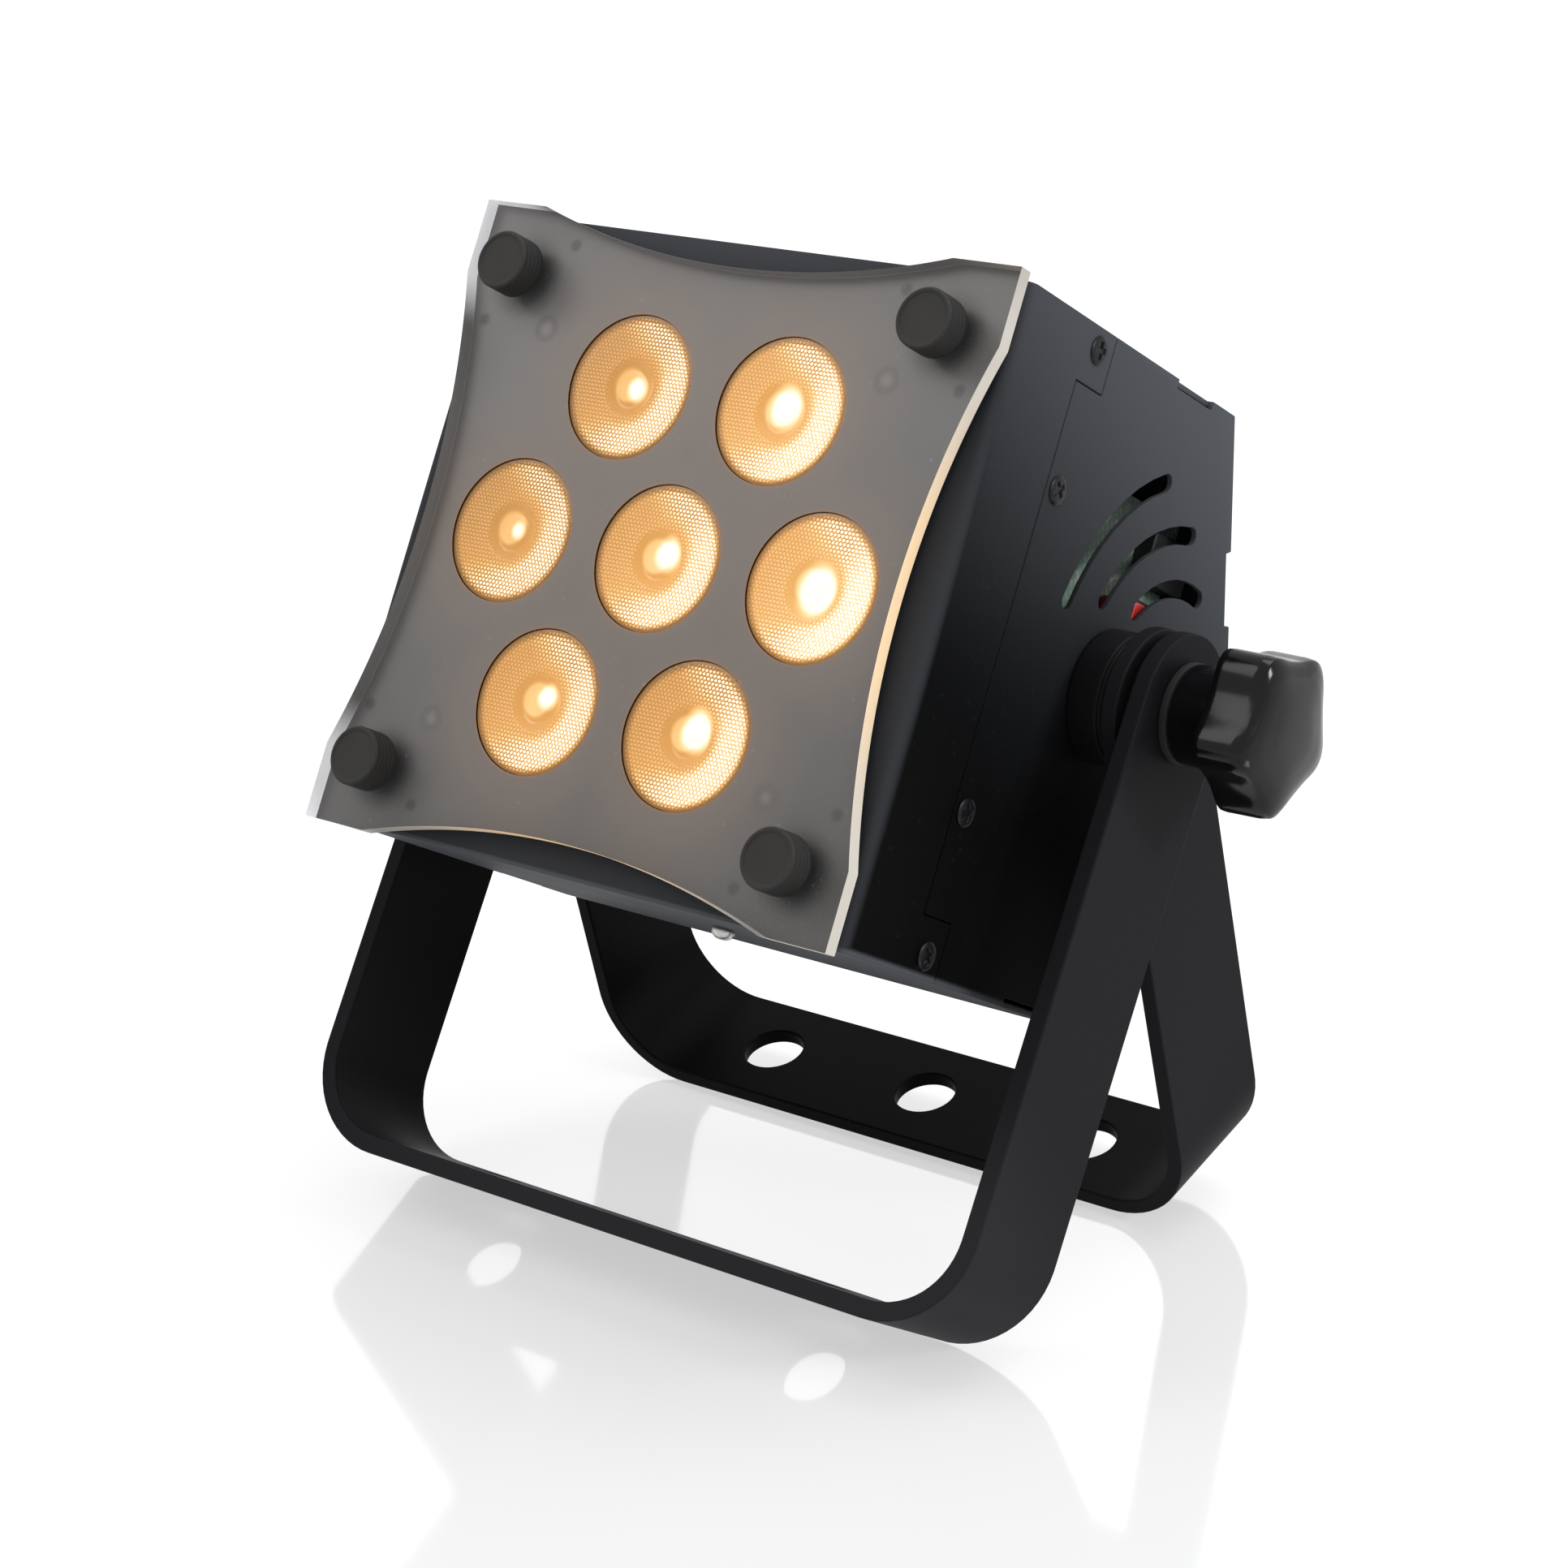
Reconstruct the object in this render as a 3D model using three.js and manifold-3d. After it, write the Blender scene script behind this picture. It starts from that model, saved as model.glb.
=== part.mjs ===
// LED par can light on a double U bracket: a square sheet-metal head with seven lenses behind a smoked
// plate, clamped by two star knobs between two flat-bar brackets that spread into a floor stand.
// Millimetres, +Z up, the light shines towards -Y, and the floor is Z = 0.
import * as THREE from "three";
import { mergeVertices } from "three/addons/utils/BufferGeometryUtils.js";
import Module from "manifold-3d";

const wasm = await Module();
wasm.setup();

// ---- Driving dimensions -------------------------------------------------------------------------
const gap = 0.3; // clearance kept between neighbouring pieces
const headTilt = 27.6; // how far the beam points up from level, in degrees
const frontLean = 30.2; // front bracket, forward of straight down, in degrees
const rearLean = 16.4; // rear bracket, backward of straight down, in degrees
const originShift = 25.8; // moves the middle of the whole object's depth onto Y = 0

const bar = { width: 40, endHole: 8.8, corner: 26 };
const frontBar = { thick: 4.9, outside: 109, reach: 167.4, holes: [-55, 55] };
const rearBar = { thick: 4.4, outside: 101.2, holes: [-55, 0, 55] };
const clampHole = 17.6; // holes for hanging clamps in the bracket bases

const sheet = 1.6; // wall of the housing
const housing = { halfWidth: 84.5, halfHeight: 83, bend: 3, seam: -51.9, tabEnd: -39, tabFrom: 68 };
const back = { corner: 26.4, peak: 70.4 }; // the rear wall is a shallow roof, its ridge at mid height
const plate = { half: 84.5, thick: 4.3, tab: 20, sagitta: 9.5, front: -87.9, toHousing: 2.2 };
const lens = { pitch: 48.2, radius: 18.9, rim: 2.8, depth: 18.8, seat: 9 };
const thumb = { offset: 66.8, radius: 7.9, height: 8.2, shank: 2, reach: 14 };
const bolt = { radius: 4, headRadius: 7.5, headThick: 5, inside: 76.9, end: 133.5 };
const boss = { radius: 17.5, from: 84.8, to: 96.2 };
const knob = {
  from: 111.7,
  hub: 12.8,
  lobesFrom: 124,
  rim: 138,
  crown: 141.5,
  crownRadius: 14,
  mean: 19.7,
  swing: 2.1,
  rounding: 1.6,
  turn: -23.4, // first lobe, from straight up towards the front, in degrees
};

const plateBack = plate.front + plate.thick;
const houseFront = plateBack + plate.toHousing;
const radians = THREE.MathUtils.degToRad;

// Both brackets stand on the lower corner edge of their base, at the same level.
const edgeDrop = (reach, lean) =>
  reach * Math.cos(radians(lean)) + (bar.width / 2) * Math.sin(radians(lean));
const pivotHeight = edgeDrop(frontBar.reach, frontLean);
rearBar.reach =
  (pivotHeight - (bar.width / 2) * Math.sin(radians(rearLean))) / Math.cos(radians(rearLean));

// ---- Materials ----------------------------------------------------------------------------------
const finish = (color, roughness, metalness) =>
  new THREE.MeshStandardMaterial({ color, roughness, metalness });
const powderBlack = () => finish(0x15161a, 0.55, 0.3);
const plasticBlack = () => finish(0x101012, 0.4, 0);
const rubberBlack = () => finish(0x0c0c0d, 0.85, 0);
const steel = () => finish(0xb4b4b2, 0.3, 1);
const aluminium = () => finish(0xc2c4c6, 0.4, 1);

// ---- Solids -------------------------------------------------------------------------------------
function toSolid(geometry) {
  const bare = geometry.clone();
  bare.deleteAttribute("normal");
  bare.deleteAttribute("uv");
  const merged = mergeVertices(bare, 1e-4);
  return new wasm.Manifold(
    new wasm.Mesh({
      numProp: 3,
      vertProperties: new Float32Array(merged.attributes.position.array),
      triVerts: new Uint32Array(merged.index.array),
    }),
  );
}

function toGeometry(solid) {
  const { vertProperties, triVerts } = solid.getMesh();
  const geometry = new THREE.BufferGeometry();
  geometry.setAttribute("position", new THREE.BufferAttribute(new Float32Array(vertProperties), 3));
  geometry.setIndex(Array.from(triVerts));
  geometry.computeVertexNormals();
  return geometry;
}

const cut = (base, tools) =>
  toGeometry(tools.reduce((solid, tool) => solid.subtract(toSolid(tool)), toSolid(base)));
const join = (base, others) =>
  toGeometry(others.reduce((solid, other) => solid.add(toSolid(other)), toSolid(base)));
const common = (base, other) => toGeometry(toSolid(base).intersect(toSolid(other)));

// A box given by its lowest and highest corners.
function block([x0, y0, z0], [x1, y1, z1]) {
  const geometry = new THREE.BoxGeometry(x1 - x0, y1 - y0, z1 - z0);
  return geometry.translate((x0 + x1) / 2, (y0 + y1) / 2, (z0 + z1) / 2);
}

// An outline drawn in (Y, Z), extruded from x0 to x1.
function alongX(shape, x0, x1, curveSegments = 12, bevel = {}) {
  const settings = { depth: x1 - x0, curveSegments, bevelEnabled: false, ...bevel };
  const turn = new THREE.Matrix4().makeBasis(
    new THREE.Vector3(0, 1, 0),
    new THREE.Vector3(0, 0, 1),
    new THREE.Vector3(1, 0, 0),
  );
  return new THREE.ExtrudeGeometry(shape, settings).applyMatrix4(turn).translate(x0, 0, 0);
}

// An outline drawn in (X, Z), extruded from y0 to y1.
function alongY(shape, y0, y1, curveSegments = 12) {
  const settings = { depth: y1 - y0, curveSegments, bevelEnabled: false };
  return new THREE.ExtrudeGeometry(shape, settings).rotateX(Math.PI / 2).translate(0, y1, 0);
}

// An outline drawn in (X, Y), extruded from z0 to z1.
function alongZ(shape, z0, z1, curveSegments = 12) {
  const settings = { depth: z1 - z0, curveSegments, bevelEnabled: false };
  return new THREE.ExtrudeGeometry(shape, settings).translate(0, 0, z0);
}

// A turned piece: [radius, station] pairs revolved about an axis parallel to X or Y.
function turned(profile, axis, segments) {
  const points = profile.map(([radius, station]) => new THREE.Vector2(radius, station));
  const geometry = new THREE.LatheGeometry(points, segments);
  return axis === "x" ? geometry.rotateZ(-Math.PI / 2) : geometry;
}

const rodProfile = (radius, a, b) => [[0, a], [radius, a], [radius, b], [0, b]];
const ringProfile = (inner, outer, a, b) => [
  [inner, a],
  [outer, a],
  [outer, b],
  [inner, b],
  [inner, a],
];
const rodX = (radius, x0, x1, y = 0, z = 0, segments = 24) =>
  turned(rodProfile(radius, x0, x1), "x", segments).translate(0, y, z);
const rodY = (radius, y0, y1, x = 0, z = 0, segments = 24) =>
  turned(rodProfile(radius, y0, y1), "y", segments).translate(x, 0, z);
const rodZ = (radius, z0, z1, x = 0, y = 0, segments = 24) =>
  turned(rodProfile(radius, z0, z1), "y", segments).rotateX(Math.PI / 2).translate(x, y, 0);

function outline(points) {
  return new THREE.Shape(points.map(([a, b]) => new THREE.Vector2(a, b)));
}

function roundedRect(x0, y0, x1, y1, r) {
  const shape = new THREE.Shape();
  shape.moveTo(x0 + r, y0);
  shape.lineTo(x1 - r, y0);
  shape.absarc(x1 - r, y0 + r, r, -Math.PI / 2, 0, false);
  shape.lineTo(x1, y1 - r);
  shape.absarc(x1 - r, y1 - r, r, 0, Math.PI / 2, false);
  shape.lineTo(x0 + r, y1);
  shape.absarc(x0 + r, y1 - r, r, Math.PI / 2, Math.PI, false);
  shape.lineTo(x0, y0 + r);
  shape.absarc(x0 + r, y0 + r, r, Math.PI, Math.PI * 1.5, false);
  return shape;
}

// ---- The scene graph ----------------------------------------------------------------------------
const light = new THREE.Group();
const stand = new THREE.Group();
stand.position.set(0, originShift, pivotHeight);
light.add(stand);

function leaning(degrees) {
  const group = new THREE.Group();
  group.rotation.x = radians(degrees);
  stand.add(group);
  return group;
}
const frontGroup = leaning(-frontLean);
const rearGroup = leaning(rearLean);
const head = leaning(-headTilt);

function place(parent, name, geometry, material, position = [0, 0, 0]) {
  const mesh = new THREE.Mesh(geometry, material);
  mesh.name = name;
  mesh.position.set(...position);
  parent.add(mesh);
}

const sides = [["left", -1], ["right", 1]];
const corners = [
  ["top_left", -1, 1],
  ["top_right", 1, 1],
  ["bottom_left", -1, -1],
  ["bottom_right", 1, -1],
];

// ---- Brackets -----------------------------------------------------------------------------------
// A flat bar bent into a U: two arms with round ends about the pivot, and a base between them.
function bentBar({ thick, outside, reach, holes }) {
  const end = bar.width / 2;
  const bendOf = (half, level, radius) => {
    const shape = new THREE.Shape();
    shape.moveTo(half, end + 1);
    shape.lineTo(-half, end + 1);
    shape.lineTo(-half, level + radius);
    shape.absarc(-half + radius, level + radius, radius, Math.PI, Math.PI * 1.5, false);
    shape.lineTo(half - radius, level);
    shape.absarc(half - radius, level + radius, radius, Math.PI * 1.5, Math.PI * 2, false);
    return shape;
  };
  const outer = alongY(bendOf(outside, -reach, bar.corner), -end, end, 6);
  const inner = alongY(bendOf(outside - thick, thick - reach, bar.corner - thick), -end - 1, end + 1, 6);
  const side = new THREE.Shape();
  side.moveTo(-end, -reach - 1);
  side.lineTo(end, -reach - 1);
  side.lineTo(end, 0);
  side.absarc(0, 0, end, 0, Math.PI, false);
  const stadium = alongX(side, -outside - 1, outside + 1, 8);
  const drills = holes.map((x) => rodZ(clampHole / 2, -reach - 1, thick - reach + 1, x, 0, 20));
  drills.push(rodX(bar.endHole / 2, -outside - 1, outside + 1, 0, 0, 14));
  return cut(common(cut(outer, [inner]), stadium), drills);
}

place(frontGroup, "front_bracket", bentBar(frontBar), powderBlack());
place(rearGroup, "rear_bracket", bentBar(rearBar), powderBlack());

// ---- Housing ------------------------------------------------------------------------------------
const { halfWidth, halfHeight, bend, seam, tabEnd, tabFrom } = housing;
const lensSpots = [[0, 0]];
for (let i = 0; i < 6; i += 1) {
  lensSpots.push([lens.pitch * Math.cos((i * Math.PI) / 3), lens.pitch * Math.sin((i * Math.PI) / 3)]);
}
const panelScrewSpot = { x: 54.4, z: 52.7 };
const tabScrew = { y: -45.8, z: 77.3 };
const seamScrew = { y: -46.5, z: 41.1 };
const bottomStud = { x: 20, y: -40 };
const screwHole = 1.8; // radius of a screw's hole in the sheet
const screwShank = 1.4; // radius of a screw's shank

// Front half: a pan of bent sheet with a tab at each corner of its side walls.
function frontShell() {
  const tray = (inset, from, to) => {
    const half = halfWidth - inset;
    const shape = new THREE.Shape();
    shape.moveTo(half, to);
    shape.lineTo(-half, to);
    shape.lineTo(-half, from + bend);
    shape.absarc(-half + bend, from + bend, bend, Math.PI, Math.PI * 1.5, false);
    shape.lineTo(half - bend, from);
    shape.absarc(half - bend, from + bend, bend, Math.PI * 1.5, Math.PI * 2, false);
    return alongZ(shape, inset - halfHeight, halfHeight - inset, 3);
  };
  const far = tabEnd + 1;
  const tools = [
    tray(sheet, houseFront + sheet, far),
    block([-halfWidth - 1, seam, -tabFrom], [halfWidth + 1, far, tabFrom]),
    block([sheet - halfWidth, seam, -halfHeight - 1], [halfWidth - sheet, far, halfHeight + 1]),
  ];
  for (const [x, z] of lensSpots) {
    tools.push(rodY(lens.radius + 0.6, houseFront - 1, houseFront + sheet + 1, x, z, 24));
  }
  for (const [, sx, sz] of corners) {
    const wall = [houseFront - 1, houseFront + sheet + 1];
    tools.push(rodY(thumb.shank + 0.4, ...wall, sx * thumb.offset, sz * thumb.offset, 8));
    tools.push(rodY(screwHole, ...wall, sx * panelScrewSpot.x, sz * panelScrewSpot.z, 8));
  }
  for (const z of [-tabScrew.z, tabScrew.z]) {
    tools.push(rodX(screwHole, -halfWidth - 1, halfWidth + 1, tabScrew.y, z, 8));
  }
  return cut(tray(0, houseFront, tabEnd), tools);
}

// One slot of the side vent: an arc with round ends, angles from straight up towards the front.
const vent = { y: 28.2, z: 6, width: 4.8, arcs: [[57.5, 26.5, 78], [43, 9, 68], [29, -10, 52.5]] };
function arcSlot(radius, from, to) {
  const start = radians(90 + from);
  const stop = radians(90 + to);
  const half = vent.width / 2;
  const tip = (angle) => [vent.y + radius * Math.cos(angle), vent.z + radius * Math.sin(angle)];
  const shape = new THREE.Shape();
  shape.absarc(vent.y, vent.z, radius + half, start, stop, false);
  shape.absarc(...tip(stop), half, stop, stop + Math.PI, false);
  shape.absarc(vent.y, vent.z, radius - half, stop, start, true);
  shape.absarc(...tip(start), half, start + Math.PI, start + Math.PI * 2, false);
  return shape;
}

// The sloping rear walls: everything mounted on one is drawn flat, its outer face at Y = 0, and turned.
const slope = Math.atan2(back.peak - back.corner, halfHeight);
const slopeMiddle = [(back.peak + back.corner) / 2, halfHeight / 2];
function onSlope(geometry, upper) {
  const turnedWall = geometry.clone().rotateX(upper ? slope : -slope);
  return turnedWall.translate(0, slopeMiddle[0], upper ? slopeMiddle[1] : -slopeMiddle[1]);
}

const socket = { flange: 13, z: -4, face: 3, depth: 14, floor: 12 };
const dataSocket = { names: ["data_in", "data_out"], spots: [-54, -19], body: 10.4, well: 8.6 };
const powerSocket = { names: ["power_in", "power_out"], spots: [19, 54], body: 9.9, well: 8 };
const powerColors = [0x1f4fa0, 0xd9d9d6];
const display = { x: -18, z: 4, halfWidth: 32, halfHeight: 14, face: 2, overlap: 3 };
const button = { radius: 3.6, pitch: 13, firstX: 28, z: 4, travel: 1.5, proud: 2.6, edge: 0.5 };
const fuse = { x: 62, z: -22, radius: 6.5, barrel: 5, proud: 5, depth: 12 };

// Slots where the top, bottom and rear walls hook into the side walls.
const edgeSlot = { from: -5.2, to: 14, depth: 2.4 };
const slopeSlot = { half: 10.2, depth: 2.4 };
function edgeNotch(near, far, sz) {
  const low = Math.min(sz * (halfHeight - edgeSlot.depth), sz * (halfHeight + 1));
  return block([near, edgeSlot.from, low], [far, edgeSlot.to, low + edgeSlot.depth + 1]);
}
function slopeNotch(near, far, sz) {
  const { half, depth } = slopeSlot;
  return onSlope(block([near, -depth, -half], [far, 2, half]), sz > 0);
}

function rearShell() {
  const slant = (back.peak - back.corner) / halfHeight;
  const profile = (inset, from) => {
    const high = halfHeight - inset;
    const ridge = back.peak - inset * Math.hypot(1, slant);
    const edge = ridge - slant * high;
    return outline([[from, -high], [edge, -high], [ridge, 0], [edge, high], [from, high]]);
  };
  const wallStart = halfWidth - sheet - gap;
  const tools = [alongX(profile(sheet, seam - 9), sheet - halfWidth, halfWidth - sheet)];
  for (const [, side] of sides) {
    const near = Math.min(side * wallStart, side * (halfWidth + 1));
    const far = Math.max(side * wallStart, side * (halfWidth + 1));
    for (const sz of [-1, 1]) {
      const low = Math.min(sz * (tabFrom - gap), sz * (halfHeight + 1));
      const high = Math.max(sz * (tabFrom - gap), sz * (halfHeight + 1));
      tools.push(block([near, seam - 1, low], [far, tabEnd + gap, high]));
      tools.push(edgeNotch(near, far, sz));
      tools.push(slopeNotch(near, far, sz));
    }
    for (const [radius, from, to] of vent.arcs) {
      tools.push(alongX(arcSlot(radius, from, to), near, far, 4));
    }
    tools.push(rodX(bolt.radius + 0.5, near, far, 0, 0, 12));
    tools.push(rodX(screwHole, near, far, seamScrew.y, seamScrew.z, 8));
    tools.push(rodX(screwHole, near, far, seamScrew.y, -seamScrew.z, 8));
  }
  const through = [-4, 3]; // past both faces of a sloping wall
  const squareHole = (x, z, halfX, halfZ) =>
    block([x - halfX, through[0], z - halfZ], [x + halfX, through[1], z + halfZ]);
  const windowHole = [display.halfWidth - display.overlap, display.halfHeight - display.overlap];
  tools.push(onSlope(squareHole(display.x, display.z, ...windowHole), true));
  for (let i = 0; i < 4; i += 1) {
    const x = button.firstX + i * button.pitch;
    tools.push(onSlope(rodY(button.radius + 0.4, ...through, x, button.z, 12), true));
  }
  tools.push(onSlope(rodY(fuse.barrel + gap, ...through, fuse.x, fuse.z, 14), true));
  for (const x of dataSocket.spots) {
    tools.push(onSlope(rodY(dataSocket.body + 0.6, ...through, x, socket.z, 20), false));
  }
  for (const x of powerSocket.spots) {
    const half = powerSocket.body + 0.6;
    tools.push(onSlope(squareHole(x, socket.z, half, half), false));
  }
  tools.push(rodZ(screwHole, -halfHeight - 1, sheet - halfHeight + 1, bottomStud.x, bottomStud.y, 8));
  return cut(alongX(profile(0, seam + gap), -halfWidth, halfWidth), tools);
}

place(head, "front_shell", frontShell(), powderBlack());
place(head, "rear_shell", rearShell(), powderBlack());

// ---- Smoked plate and what holds it -------------------------------------------------------------
function frontPlate() {
  const { half, tab, sagitta } = plate;
  const chord = half - tab;
  const radius = (chord * chord + sagitta * sagitta) / (2 * sagitta);
  const open = Math.asin(chord / radius);
  const centre = half + radius - sagitta;
  const shape = new THREE.Shape();
  shape.moveTo(-half, -half);
  const quarter = Math.PI / 2;
  for (let i = 0; i < 4; i += 1) {
    const towards = -quarter + i * quarter;
    const away = towards + Math.PI;
    const middle = [centre * Math.cos(towards), centre * Math.sin(towards)];
    shape.absarc(...middle, radius, away + open, away - open, true);
    const nextCorner = towards + quarter / 2;
    const reach = Math.SQRT2 * half;
    shape.lineTo(reach * Math.cos(nextCorner), reach * Math.sin(nextCorner));
  }
  const drills = corners.map(([, sx, sz]) =>
    rodY(thumb.shank + 0.3, plate.front - 1, plateBack + 1, sx * thumb.offset, sz * thumb.offset, 10),
  );
  return cut(alongY(shape, plate.front, plateBack, 7), drills);
}
place(head, "smoked_plate", frontPlate(), finish(0x6d6d70, 0.35, 0));

const thumbProfile = [
  [0, plate.front - gap - thumb.height],
  [thumb.radius, plate.front - gap - thumb.height],
  [thumb.radius, plate.front - gap],
  [thumb.shank, plate.front - gap],
  [thumb.shank, plate.front + thumb.reach],
  [0, plate.front + thumb.reach],
];
const spacerRadius = 5;
const spacerProfile = ringProfile(thumb.shank + 0.3, spacerRadius, plateBack + gap, houseFront - gap);
const panelScrew = { radius: 3, head: 1.5, reach: 5 };
const panelScrewProfile = [
  [0, houseFront - panelScrew.head],
  [panelScrew.radius, houseFront - panelScrew.head],
  [panelScrew.radius, houseFront - gap],
  [screwShank, houseFront - gap],
  [screwShank, houseFront + panelScrew.reach],
  [0, houseFront + panelScrew.reach],
];
for (const [where, sx, sz] of corners) {
  const spot = [sx * thumb.offset, 0, sz * thumb.offset];
  const screwSpot = [sx * panelScrewSpot.x, 0, sz * panelScrewSpot.z];
  place(head, `thumb_screw_${where}`, turned(thumbProfile, "y", 24), plasticBlack(), spot);
  place(head, `plate_spacer_${where}`, turned(spacerProfile, "y", 12), rubberBlack(), spot);
  place(head, `panel_screw_${where}`, turned(panelScrewProfile, "y", 10), steel(), screwSpot);
}

// ---- Optics and electronics ---------------------------------------------------------------------
const lensFront = plateBack + gap;
const lensBack = lensFront + lens.depth;
const emitter = { radius: 2.6, height: 1.4 };
const pocket = { radius: emitter.radius + 1, depth: emitter.height + 1 }; // room for the emitter
const lensProfile = [
  [0, lensFront],
  [lens.radius, lensFront],
  [lens.radius, lensFront + lens.rim],
  [lens.seat, lensBack],
  [pocket.radius, lensBack],
  [pocket.radius, lensBack - pocket.depth],
  [0, lensBack - pocket.depth],
];
lensSpots.forEach(([x, z], i) => {
  place(head, `lens_${i + 1}`, turned(lensProfile, "y", 20), finish(0xffc070, 0.1, 0), [x, 0, z]);
});

// A flat piece, square when seen from the front.
const squareSlab = (half, from, to) => block([-half, from, -half], [half, to, half]);

// The tray holds the lenses' cones, at the height where they fit its holes.
const tray = { half: 76, y: -75, thick: 2 };
const coneSlant = (lens.radius - lens.seat) / (lens.depth - lens.rim);
const trayHole = lens.seat + (lensBack - tray.y) * coneSlant;
const trayWall = [tray.y - 1, tray.y + tray.thick + 1];
const trayTools = lensSpots.map(([x, z]) => rodY(trayHole + 0.4, ...trayWall, x, z, 16));
for (const [, sx, sz] of corners) {
  trayTools.push(rodY(thumb.shank + 0.4, ...trayWall, sx * thumb.offset, sz * thumb.offset, 8));
  trayTools.push(rodY(screwHole, ...trayWall, sx * panelScrewSpot.x, sz * panelScrewSpot.z, 8));
}
const trayBody = squareSlab(tray.half, tray.y, tray.y + tray.thick);
place(head, "lens_tray", cut(trayBody, trayTools), plasticBlack());

const board = { half: 70, thick: 1.6 };
const boardFront = lensBack + gap;
const boardBack = boardFront + board.thick;
const emitters = lensSpots.map(([x, z]) =>
  rodY(emitter.radius, boardFront - emitter.height, boardFront + 0.5, x, z, 8),
);
const ledBoard = join(squareSlab(board.half, boardFront, boardBack), emitters);
place(head, "led_board", ledBoard, finish(0xe8e8e4, 0.5, 0));

const sink = { base: 6, depth: 38, finHalf: 0.9, pitch: 10, firstFin: -60 };
const sinkFront = boardBack + gap;
const fins = [];
for (let x = sink.firstFin; x <= -sink.firstFin; x += sink.pitch) {
  const low = [x - sink.finHalf, sinkFront + 2, -board.half];
  fins.push(block(low, [x + sink.finHalf, sinkFront + sink.depth, board.half]));
}
const sinkBase = squareSlab(board.half, sinkFront, sinkFront + sink.base);
place(head, "heat_sink", join(sinkBase, fins), aluminium());

const driver = { from: [70, -16, -54], to: [71.6, 36, 54] };
place(head, "driver_board", block(driver.from, driver.to), finish(0x1f5a3a, 0.5, 0));
const supply = { from: [-62, -16, -40], to: [10, 22, 48] };
place(head, "power_supply", block(supply.from, supply.to), aluminium());

// ---- Side fasteners and the pivot ---------------------------------------------------------------
const sideScrew = { radius: 3.7, top: 3.2, head: 1, reach: 8 };
const sideScrewProfile = [
  [0, halfWidth - sideScrew.reach],
  [screwShank, halfWidth - sideScrew.reach],
  [screwShank, halfWidth + gap],
  [sideScrew.radius, halfWidth + gap],
  [sideScrew.top, halfWidth + sideScrew.head],
  [0, halfWidth + sideScrew.head],
];
const boltProfile = [
  [0, bolt.inside],
  [bolt.headRadius, bolt.inside],
  [bolt.headRadius, bolt.inside + bolt.headThick],
  [bolt.radius, bolt.inside + bolt.headThick],
  [bolt.radius, bolt.end],
  [0, bolt.end],
];
const washer = { betweenArms: 12, outsideArms: 13 };
const mirrored = (geometry, side) => (side > 0 ? geometry : geometry.rotateY(Math.PI));
const ringOnBolt = (outer, [from, to], side) =>
  mirrored(turned(ringProfile(bolt.radius + gap, outer, from, to), "x", 20), side);

// A star knob: a round hub, five lobes with a rounded rim, a low crown and a blind threaded bore.
function starKnob() {
  const star = new THREE.Shape();
  const steps = 40;
  for (let i = 0; i < steps; i += 1) {
    const angle = (i / steps) * Math.PI * 2;
    const radius = knob.mean + knob.swing * Math.cos(5 * (angle - radians(knob.turn)));
    const at = [-radius * Math.sin(angle), radius * Math.cos(angle)];
    if (i === 0) star.moveTo(...at);
    else star.lineTo(...at);
  }
  const { rounding } = knob;
  const bevel = {
    bevelEnabled: true,
    bevelThickness: rounding,
    bevelSize: rounding,
    bevelOffset: -rounding,
    bevelSegments: 1,
  };
  const lobes = alongX(star, knob.lobesFrom + rounding, knob.rim - rounding, 1, bevel);
  const crownProfile = [
    [0, knob.rim - 1],
    [knob.crownRadius, knob.rim - 1],
    [knob.crownRadius - 4, knob.crown],
    [0, knob.crown],
  ];
  const crown = turned(crownProfile, "x", 20);
  const hub = rodX(knob.hub, knob.from, knob.lobesFrom + 3, 0, 0, 20);
  const bore = rodX(bolt.radius + gap, knob.from - 1, bolt.end + 0.5, 0, 0, 12);
  return cut(join(lobes, [crown, hub]), [bore]);
}

for (const [where, side] of sides) {
  for (const [end, sz] of [["top", 1], ["bottom", -1]]) {
    const screw = () => mirrored(turned(sideScrewProfile, "x", 12), side);
    place(head, `tab_screw_${where}_${end}`, screw(), steel(), [0, tabScrew.y, sz * tabScrew.z]);
    place(head, `seam_screw_${where}_${end}`, screw(), steel(), [0, seamScrew.y, sz * seamScrew.z]);
  }
  const besideHead = [boss.from, boss.to];
  const betweenArms = [rearBar.outside + gap, frontBar.outside - frontBar.thick - gap];
  const outsideArms = [frontBar.outside + gap, knob.from - gap];
  const knobShape = side > 0 ? starKnob() : starKnob().rotateY(Math.PI);
  place(head, `side_boss_${where}`, ringOnBolt(boss.radius, besideHead, side), plasticBlack());
  place(head, `pivot_bolt_${where}`, mirrored(turned(boltProfile, "x", 12), side), steel());
  place(head, `arm_washer_${where}`, ringOnBolt(washer.betweenArms, betweenArms, side), rubberBlack());
  place(head, `knob_washer_${where}`, ringOnBolt(washer.outsideArms, outsideArms, side), rubberBlack());
  place(head, `clamp_knob_${where}`, knobShape, finish(0x0b0b0c, 0.15, 0));
}

// ---- Rear panel ---------------------------------------------------------------------------------
const bezel = block(
  [display.x - display.halfWidth, gap, display.z - display.halfHeight],
  [display.x + display.halfWidth, display.face, display.z + display.halfHeight],
);
place(head, "display_panel", onSlope(bezel, true), finish(0x1a1a1c, 0.2, 0));

const buttonProfile = [
  [0, -button.travel],
  [button.radius, -button.travel],
  [button.radius, button.proud - button.edge],
  [button.radius - button.edge, button.proud],
  [0, button.proud],
];
["menu", "down", "up", "enter"].forEach((name, i) => {
  const cap = turned(buttonProfile, "y", 12);
  const shape = cap.translate(button.firstX + i * button.pitch, 0, button.z);
  place(head, `${name}_button`, onSlope(shape, true), plasticBlack());
});

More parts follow.
